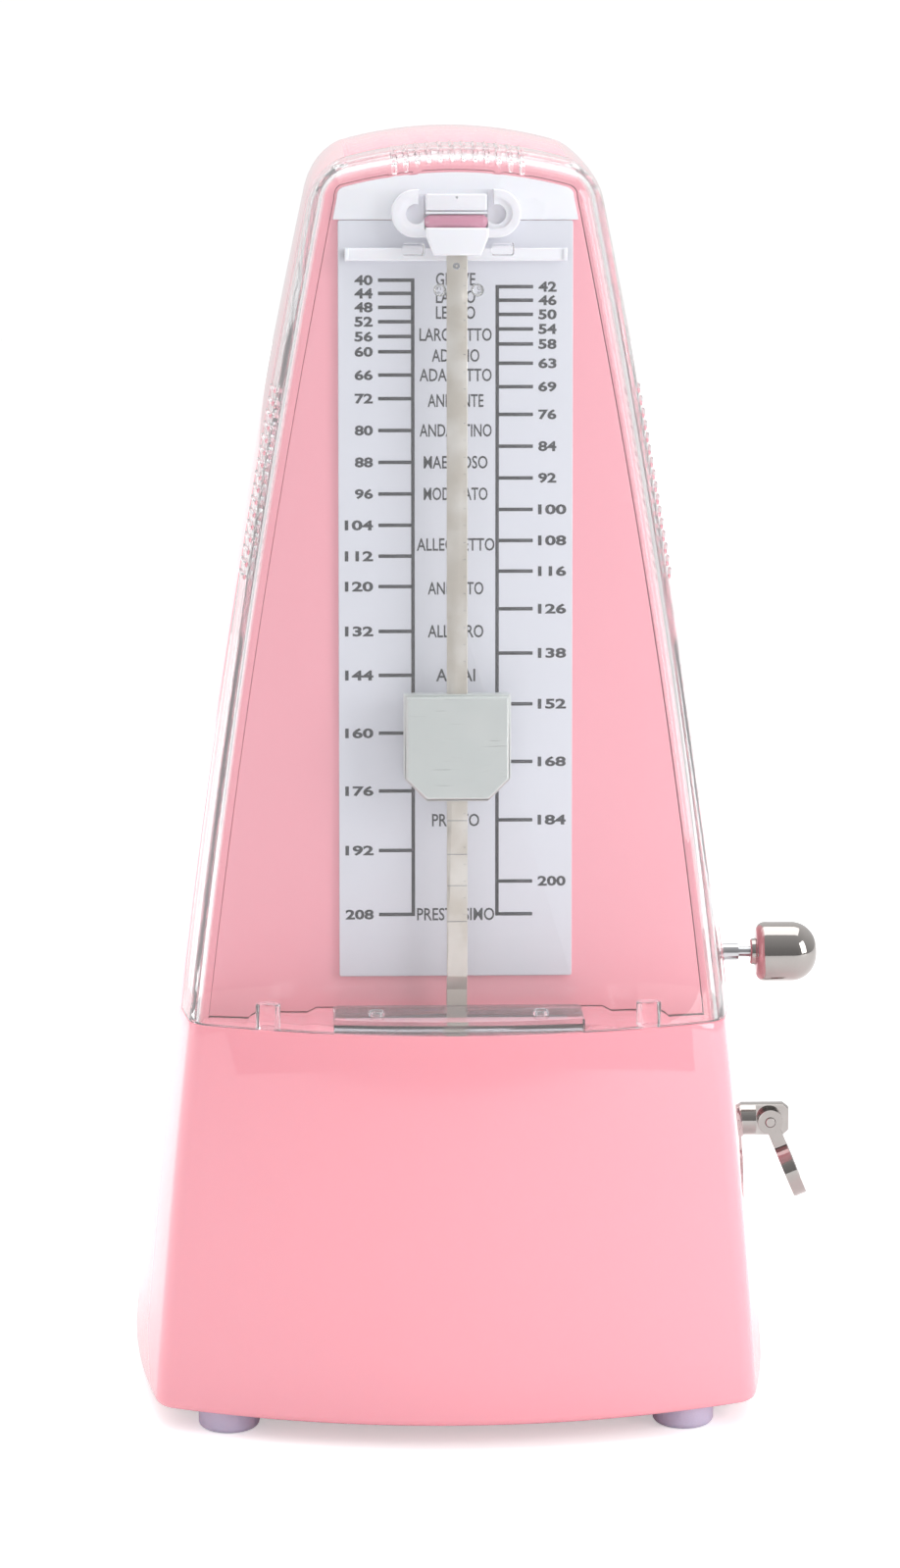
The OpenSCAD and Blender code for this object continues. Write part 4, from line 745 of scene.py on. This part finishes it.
boss = bmesh.new()
soft_block(boss, stadium(BOSS_HALF_W, BOSS_HALF_H, (0, BOSS_V)), PLATE_T, BOSS_FACE, 0.75, segments=5)
dish = bmesh.new()
prism(dish, stadium(BOSS_HALF_W - 1.5, BOSS_HALF_H - 1.5, (0, BOSS_V)), BOSS_FACE - 0.5, BOSS_FACE + 1)
holes = bmesh.new()
prism(holes, rounded(CHANNEL_HALF_W - 0.2, 10, 0.2, (0, CHANNEL_V + 10)), WEB_FACE, BOSS_FACE + 1)
for side in (-1, 1):
    eye = bmesh.new()
    prism(eye, circle(side * (FINGER_X + 0.3), FINGER_V - 0.1, FINGER_R), WEB_FACE + 0.3, BOSS_FACE + 1)
    notch = bmesh.new()
    notch_at = (side * (CHANNEL_HALF_W + 0.2), BOSS_V + 1.9)
    prism(notch, rounded(0.6, 2.2, 0.3, notch_at), WEB_FACE + 0.3, BOSS_FACE + 1)
    holes = carve(holes, ("UNION", eye), ("UNION", notch))
boss = carve(boss, ("DIFFERENCE", dish), ("DIFFERENCE", holes))
crisp_edges(boss, (lambda p: p.z > BOSS_FACE - 0.6,), 0.14, 2, 50)
bmesh.ops.transform(boss, matrix=PANEL, verts=boss.verts)
put("bracket_boss", boss, "case", M_WHITE)

# The clip: a smooth tongue on top, a glossy roller in its window and a tapered flap over the rod
TONGUE_V0, TONGUE_V1, TONGUE_HALF_W, TONGUE_FACE = 137.0, 139.8, 5.2, 4.2
ROLLER_V, ROLLER_R, ROLLER_N = 135.1, 1.25, 2.85
FLAP_V0, FLAP_V1, FLAP_TOP, FLAP_FACE = 129.4, 132.5, 134.05, 8.5
FLAP_HALF_W, TIP_HALF_W = 5.3, 4.0
ROLLER_HALF_L = 4.2

clip = bmesh.new()
soft_block(clip, rounded(TONGUE_HALF_W, (TONGUE_V1 - TONGUE_V0) / 2, 0.3, (0, (TONGUE_V0 + TONGUE_V1) / 2)),
           WEB_FACE, TONGUE_FACE, 0.3, PANEL)
soft_block(clip, rounded(TONGUE_HALF_W, 0.22, 0.15, (0, ROLLER_V + ROLLER_R + 0.28)),
           WEB_FACE, TONGUE_FACE - 0.25, 0.12, PANEL)
flap_outline = [(FLAP_HALF_W, FLAP_TOP), (-FLAP_HALF_W, FLAP_TOP), (-FLAP_HALF_W, FLAP_V1),
                (-TIP_HALF_W, FLAP_V0), (TIP_HALF_W, FLAP_V0), (FLAP_HALF_W, FLAP_V1)]
soft_block(clip, flap_outline, 7.3, FLAP_FACE, 0.45, PANEL)
soft_block(clip, rounded(3.8, 0.72, 0.2, (0, FLAP_TOP - 0.75)), BOSS_FACE + 0.02, 7.5, 0.1, PANEL)
put("clip_piece", clip, "case", M_WHITE, ("rod_clip",))

# The roller's rose colour is painted reflection of the pink round it.
roller = bmesh.new()
capsule(roller, PANEL @ Vector((-ROLLER_HALF_L, ROLLER_V, ROLLER_N)),
        PANEL @ Vector((ROLLER_HALF_L, ROLLER_V, ROLLER_N)), ROLLER_R, 40, 14)
put("clip_roller", roller, "case", M_ROLLER_REFLECTION)

pip = bmesh.new()
lathe(pip, [(0, 0.05), (0.16, 0.05), (0.22, 0.02), (0.24, 0)], PANEL @ Vector((0.1, 139.2, TONGUE_FACE)),
      PANEL.to_3x3() @ Vector((0, 0, 1)), 20)
put("tongue_pip", pip, "case", M_ZINC)

# ---------------------------------------------------------------- printed scale

INK_T = 0.02
LINE_W = 0.6
LEFT_BAR_X, LEFT_TICK_X, LEFT_NUMBER_X = -7.3, -13.2, -14.1
RIGHT_BAR_X, RIGHT_TICK_X, RIGHT_NUMBER_X = 7.1, 13.2, 14.1
DIGIT_H, WORD_H, WIDEST = 1.75, 2.2, 13.3

# The pendulum's law: gravity in mm/s2, the arm at which the weight would balance the bob, and the
# bob's inertia for the weight's mass, in mm2
GRAVITY, BALANCE_ARM, BOB_TERM = 9810, 148.04, 9668.6
PIVOT_V, MASS_L = 7.38, 1.023


def beats(v):
    """Beats a minute with the weight at a height on the panel."""
    arm = PIVOT_V + MASS_L * v
    return 60 / math.pi * math.sqrt(GRAVITY * (BALANCE_ARM - arm) / (BOB_TERM + arm * arm))


def height_of(tempo):
    low, high = 0.0, PLATE_TOP
    for _ in range(40):
        mid = (low + high) / 2
        if beats(mid) > tempo:
            low = mid
        else:
            high = mid
    return (low + high) / 2


def tempo_marks():
    marks, tempo = [], 40
    for top, step in ((60, 2), (72, 3), (120, 4), (144, 6), (208, 8)):
        while tempo < top:
            marks.append(tempo)
            tempo += step
    return marks + [208]


def lettering(text, height, width, x, v, align, weight=0.0):
    """Flat raised letters of a height, squeezed or spread to a width per letter."""
    curve = bpy.data.curves.new("lettering", "FONT")
    curve.body = text
    curve.align_x = align
    curve.offset = weight
    curve.resolution_u = 3
    obj = bpy.data.objects.new("lettering", curve)
    scene.collection.objects.link(obj)
    bpy.context.view_layer.update()
    mesh = bpy.data.meshes.new_from_object(obj.evaluated_get(bpy.context.evaluated_depsgraph_get()))
    bm = bmesh.new()
    bm.from_mesh(mesh)
    bpy.data.objects.remove(obj)
    bpy.data.curves.remove(curve)
    bpy.data.meshes.remove(mesh)
    xs, ys = [p.co.x for p in bm.verts], [p.co.y for p in bm.verts]
    span_x, span_y = max(xs) - min(xs), max(ys) - min(ys)
    wide = min(width * len(text) - 0.2 * width, WIDEST)
    anchor = {"LEFT": 0.0, "CENTER": 0.5, "RIGHT": 1.0}[align]
    for p in bm.verts:
        p.co.x = x + ((p.co.x - min(xs)) / span_x - anchor) * wide
        p.co.y = v + ((p.co.y - min(ys)) / span_y - 0.5) * height
        p.co.z = PLATE_T + INK_T
    bmesh.ops.transform(bm, matrix=PANEL, verts=bm.verts)
    return bm


def stroke(bm, x0, x1, v0, v1):
    prism(bm, [(x0, v0), (x1, v0), (x1, v1), (x0, v1)], PLATE_T - 0.01, PLATE_T + INK_T, PANEL)


ink = bmesh.new()
marks = tempo_marks()
half = LINE_W / 2
for k, tempo in enumerate(marks):
    v = height_of(tempo)
    left = k % 2 == 0
    x0, x1 = (LEFT_TICK_X, LEFT_BAR_X) if left else (RIGHT_BAR_X, RIGHT_TICK_X)
    stroke(ink, x0, x1, v - half, v + half)
    number = lettering(str(tempo), DIGIT_H, 1.73, LEFT_NUMBER_X if left else RIGHT_NUMBER_X, v,
                       "RIGHT" if left else "LEFT", 0.035)
    join(ink, number)
low, high = height_of(208), height_of(40)
stroke(ink, RIGHT_BAR_X, RIGHT_TICK_X, low - half, low + half)
stroke(ink, LEFT_BAR_X - half, LEFT_BAR_X + half, low - half, high + half)
stroke(ink, RIGHT_BAR_X - half, RIGHT_BAR_X + half, low - half, height_of(42) + half)
words = {"GRAVE": 39.7, "LARGO": 45, "LENTO": 49.5, "LARGHETTO": 55.5, "ADAGIO": 61, "ADAGIETTO": 66,
         "ANDANTE": 72.5, "ANDANTINO": 80, "MAESTOSO": 88, "MODERATO": 96, "ALLEGRETTO": 109,
         "ANIMATO": 120.5, "ALLEGRO": 132, "ASSAI": 144, "VIVACE": 164, "PRESTO": 184, "PRESTISSIMO": 208}
for word, tempo in words.items():
    join(ink, lettering(word, WORD_H, 1.4, 0, height_of(tempo), "CENTER", 0.012))
put("scale_print", ink, "case", M_INK, sharp=180)

# ---------------------------------------------------------------- clear cover

COVER_FOOT = LEDGE_Z + COVER_GAP
RIB_N, RIB_PITCH, RIB_R, RIB_SUNK, RIB_BACK = 12, 1.95, 0.49, 0.15, 0.8
SIDE_RIB_N, SIDE_RIB_PITCH, SIDE_RIB_V = 16, 2.1, 76.0
PEG_X, PEG_V, PEG_R, PEG_N = 3.15, 123.6, 1.1, 9.85
LUG_X0, LUG_X1, LUG_V, LUG_HALF_H = 5.6, 9.4, 130.4, 1.1
POST_X, POST_R, POST_H = 32.4, 2.1, 4.0
# Past the cover's front, where what stands proud is trimmed
COVER_REACH = 24
BEAM_Y0, BEAM_Y1, BEAM_H = -41.2, -35.4, 2.0

behind = bmesh.new()
cover_back = COVER_GAP / math.cos(LEAN)
prism(behind, [(seam_y(-FAR) - cover_back, -FAR), (seam_y(FAR) - cover_back, FAR), (FAR, FAR), (FAR, -FAR)],
      -FAR, FAR, ACROSS)
below = bmesh.new()
box(below, (-FAR, -FAR, -FAR), (FAR, FAR, COVER_FOOT))
cover = carve(form(0), ("DIFFERENCE", form(COVER_WALL, FOOT_H - 1)), ("DIFFERENCE", behind),
              ("DIFFERENCE", below))
crisp_edges(cover, (on_seam(COVER_GAP), at_height(COVER_FOOT)), 0.22)

fittings = bmesh.new()
for side in (-1, 1):
    capsule(fittings, PANEL @ Vector((side * PEG_X, PEG_V, PEG_N + PEG_R)),
            PANEL @ Vector((side * PEG_X, PEG_V, COVER_REACH)), PEG_R, 24, 12)
    lug_at = (side * (LUG_X0 + LUG_X1) / 2, LUG_V)
    soft_block(fittings, rounded((LUG_X1 - LUG_X0) / 2, LUG_HALF_H, 0.5, lug_at), 5, COVER_REACH, 0.4, PANEL,
               both=True)
    soft_block(fittings, circle(side * POST_X, -corner_y(LEDGE_Z) - 0.6, POST_R),
               COVER_FOOT + 0.01, COVER_FOOT + POST_H, 0.35)
beam_at = (0, (BEAM_Y1 + BEAM_Y0 - 10) / 2)
soft_block(fittings, rounded(SLOT_HALF_W, (BEAM_Y1 - BEAM_Y0 + 10) / 2, 1.2, beam_at),
           COVER_FOOT + 0.01, COVER_FOOT + BEAM_H, 0.4)
fittings = carve(fittings, ("INTERSECT", form(COVER_WALL / 2)))
cover = carve(cover, ("UNION", fittings))
ribs = bmesh.new()
for k in range(RIB_N):
    x = (k - (RIB_N - 1) / 2) * RIB_PITCH
    crown = arch_z(x) - RIB_SUNK
    turn_y, turn_z = -half_d(crown) + TOP_EDGE_R, crown - TOP_EDGE_R
    spots = [Vector((x, seam_y(crown) - RIB_BACK - RIB_R, crown))]
    for a in (0, 24, 48, 66):
        t = math.radians(a)
        spots.append(Vector((x, turn_y - TOP_EDGE_R * math.sin(t), turn_z + TOP_EDGE_R * math.cos(t))))
    rib = bmesh.new()
    capsule(rib, spots[0], spots[1], RIB_R, 16, 8)
    for a, b in zip(spots[1:], spots[2:]):
        link = bmesh.new()
        capsule(link, a, b, RIB_R * 1.02, 16, 8)
        rib = carve(rib, ("UNION", link))
    join(ribs, rib)
for k in range(SIDE_RIB_N):
    z = LEDGE_Z + (SIDE_RIB_V + k * SIDE_RIB_PITCH) * math.cos(LEAN)
    y0, y1 = -corner_y(z) + CORNER_R, seam_y(z) - RIB_BACK
    y = (y0 + y1) / 2
    x = side_x(z) - y * y / (2 * SIDE_R) - RIB_SUNK
    slant = math.atan(y / SIDE_R)
    run = ((y1 - y0) / 2 - RIB_R) * Vector((-math.sin(slant), math.cos(slant), 0))
    for side in (-1, 1):
        mid = Vector((side * x, y, z))
        way = Vector((side * run.x, run.y, 0))
        capsule(ribs, mid - way, mid + way, RIB_R, 16, 8)
cover = carve(cover, ("UNION", ribs))
put("cover_shell", cover, "cover", M_CLEAR, ("front_cover",))

# ---------------------------------------------------------------- pendulum, weight, key and knob

refine("pendulum_rod", "pendulum", M_ROD, 0.12)
weight = refine("tempo_weight", "weight", M_WEIGHT, 0.55, name="weight_block")
weight.modifiers["soft_edges"].segments = 3

ROD_FACE, ROD_HALF_W, ROD_V0, ROD_V1 = 6.8, 1.75, 6.3, 131.8
NOTCH_N, NOTCH_V, NOTCH_PITCH = 39, 17, 2.9
SCORE_HALF_W = 1.7
PUNCH_PROFILE = [(0.18, 0.005), (0.3, 0.03), (0.55, 0.03), (0.62, 0.0)]
face = bmesh.new()
soft_block(face, rounded(ROD_HALF_W, (ROD_V1 - ROD_V0) / 2, 0.1, (0, (ROD_V1 + ROD_V0) / 2)),
           6.4, ROD_FACE, 0.1, PANEL)
put("rod_face", face, "pendulum", M_ROD)
# Dark dashes at the rod's notches: painted shade, standing for the shade inside each notch.
notch_shade = bmesh.new()
for k in range(NOTCH_N):
    prism(notch_shade, rounded(0.16, 0.05, 0.03, (1.25, NOTCH_V + NOTCH_PITCH * k)),
          ROD_FACE - 0.01, ROD_FACE + 0.008, PANEL)
put("rod_notch_painted_shade", notch_shade, "pendulum", M_LEAD_AND_GROOVE_SHADE)

dimple = bmesh.new()
lathe(dimple, PUNCH_PROFILE, PANEL @ Vector((-0.1, 127.6, ROD_FACE)), PANEL.to_3x3() @ Vector((0, 0, 1)), 28)
put("rod_punch_mark", dimple, "pendulum", M_STEEL)
# Dark strips along the rod's scored lines: painted shade, standing for the shade inside each groove.
lines = bmesh.new()
for v in (33.2, 27.4, 22.0, 15.8):
    prism(lines, rounded(SCORE_HALF_W, 0.07, 0.05, (0, v)), ROD_FACE - 0.02, ROD_FACE + 0.012, PANEL)
put("rod_score_painted_shade", lines, "pendulum", M_LEAD_AND_GROOVE_SHADE)

# Two small bosses moulded on the cover's beam
BEAM_BOSS_X, BEAM_BOSS_Y = 14, -42.0
bosses = bmesh.new()
for side in (-1, 1):
    ring_bm = bmesh.new()
    lathe(ring_bm, [(0.75, 0), (0.75, 0.5), (0.95, 0.7), (1.25, 0.7), (1.4, 0.5), (1.4, 0), (0.75, 0)],
          (side * BEAM_BOSS_X, BEAM_BOSS_Y, COVER_FOOT + BEAM_H + 0.01), (0, 0, 1), 32)
    join(bosses, ring_bm)
put("beam_bosses", bosses, "cover", M_CLEAR)

# The pull knob: a turned barrel with a domed end and a rounded shoulder
k_lo, k_hi = (Vector(c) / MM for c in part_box("selector_knob"))
KNOB_R = (k_hi.z - k_lo.z) / 2
SHOULDER_R, DOME_R, COLLAR_H = 1.6, 4.6, 0.9
k_len = k_hi.x - k_lo.x
knob_bm = bmesh.new()
profile = [(0, 0), (2.0, 0), (2.3, 0.25), (2.4, COLLAR_H), (KNOB_R - SHOULDER_R, COLLAR_H + 0.1)]
profile += arc(KNOB_R - SHOULDER_R, COLLAR_H + 0.1 + SHOULDER_R, SHOULDER_R, -80, 0, 8)
profile += arc(KNOB_R - DOME_R, k_len - DOME_R, DOME_R, 4, 90, 16)
profile += [(0, k_len)]
lathe(knob_bm, profile, (k_lo.x, KNOB_Y, KNOB_Z), (1, 0, 0), 72)
put("knob_turned", knob_bm, "selector", M_CHROME, ("selector_knob",))
refine("selector_rod", "selector", M_STEEL, 0.0)

refine("key_shaft", "winder", M_CHROME, 0.35, name="key_shaft_round")
refine("key_pin", "winder", M_CHROME, 0.15)
wing = refine("key_wing", "wing", M_CHROME, 0.7, name="key_wing_round")
wing.modifiers["soft_edges"].segments = 4

# ---------------------------------------------------------------- feet and base

refine("feet", "case", M_FEET, 0.7, name="feet_round").modifiers["soft_edges"].segments = 4
refine("base_plate", "case", M_BASE, 0.2)

# ---------------------------------------------------------------- floor, light and camera

FLOOR_HALF, FLOOR_GLOW = 1.3, 0.42
floor = bpy.data.objects.new("floor", bpy.data.meshes.new("floor"))
fbm = bmesh.new()
bmesh.ops.create_grid(fbm, x_segments=2, y_segments=2, size=FLOOR_HALF)
fbm.to_mesh(floor.data)
fbm.free()
scene.collection.objects.link(floor)
mat, tree, out, where = start("pale_floor")
pale = shade(tree, (0.93, 0.93, 0.935, 1), 0.01, where, 3.0)
seen = add(tree, "LightPath").outputs["Is Camera Ray"]
matt = add(tree, "BsdfPrincipled", {"Base Color": pale, "Roughness": 0.75, "Specular IOR Level": 0.2,
                                    "Emission Color": (1, 1, 1, 1), "Emission Strength":
                                    arith(tree, "MULTIPLY", seen, FLOOR_GLOW)})
tree.links.new(matt.outputs[0], out.inputs[0])
floor.data.materials.append(mat)


LIGHTS_AIM = Vector((0, 0, 0.1))


def softbox(name, at, width, height, power):
    data = bpy.data.lights.new(name, "AREA")
    data.shape, data.size, data.size_y = "RECTANGLE", width, height
    data.energy = power
    obj = bpy.data.objects.new(name, data)
    obj.location = at
    obj.rotation_euler = (LIGHTS_AIM - Vector(at)).to_track_quat("-Z", "Y").to_euler()
    scene.collection.objects.link(obj)


softbox("left_softbox", (-1.0, 0.25, 0.5), 0.5, 1.2, 1.4)
softbox("right_softbox", (1.15, -0.75, 0.6), 0.6, 1.0, 9.0)
softbox("top_softbox", (0, 0.25, 1.15), 1.2, 0.9, 6.5)

world = bpy.data.worlds.new("studio")
scene.world = world
world.use_nodes = True
tree = world.node_tree
tree.nodes.clear()
path = add(tree, "LightPath")
way = add(tree, "TexCoord").outputs["Generated"]
up = add(tree, "SeparateXYZ", {0: way})
# A white room that darkens low down and behind the camera, more so in reflections
toward = fit_range(tree, up.outputs[1], -0.9, 1.0, 0.55, 1.5)
lifted = fit_range(tree, up.outputs[2], -0.2, 0.6, 0.65, 1.0)
mirrored = fit_range(tree, path.outputs["Is Glossy Ray"], 0.0, 1.0, 1.0, 0.75)
room = arith(tree, "MULTIPLY", arith(tree, "MULTIPLY", toward, lifted), mirrored)
backdrop = arith(tree, "MAXIMUM", room, path.outputs["Is Camera Ray"])
sky = add(tree, "Background", {"Color": (1, 1, 1, 1), "Strength": backdrop})
out = add(tree, "OutputWorld", {"Surface": sky.outputs[0]})

camera = bpy.data.objects.new("camera", bpy.data.cameras.new("camera"))
scene.collection.objects.link(camera)
scene.camera = camera
CAMERA_AT, CAMERA_AIM = Vector((-38.25, -875.1, 306.5)) * MM, Vector((0.2, 1, 104)) * MM
CAMERA_ROLL = math.radians(0.3)
camera.data.lens = 116.3
camera.data.sensor_width = 36.0
camera.data.sensor_fit = "AUTO"
camera.data.clip_start, camera.data.clip_end = 0.01, 20.0
camera.location = CAMERA_AT
turn = (CAMERA_AIM - CAMERA_AT).to_track_quat("-Z", "Y").to_matrix() @ Matrix.Rotation(CAMERA_ROLL, 3, "Z")
camera.rotation_euler = turn.to_euler()
scene.view_settings.view_transform = "Standard"
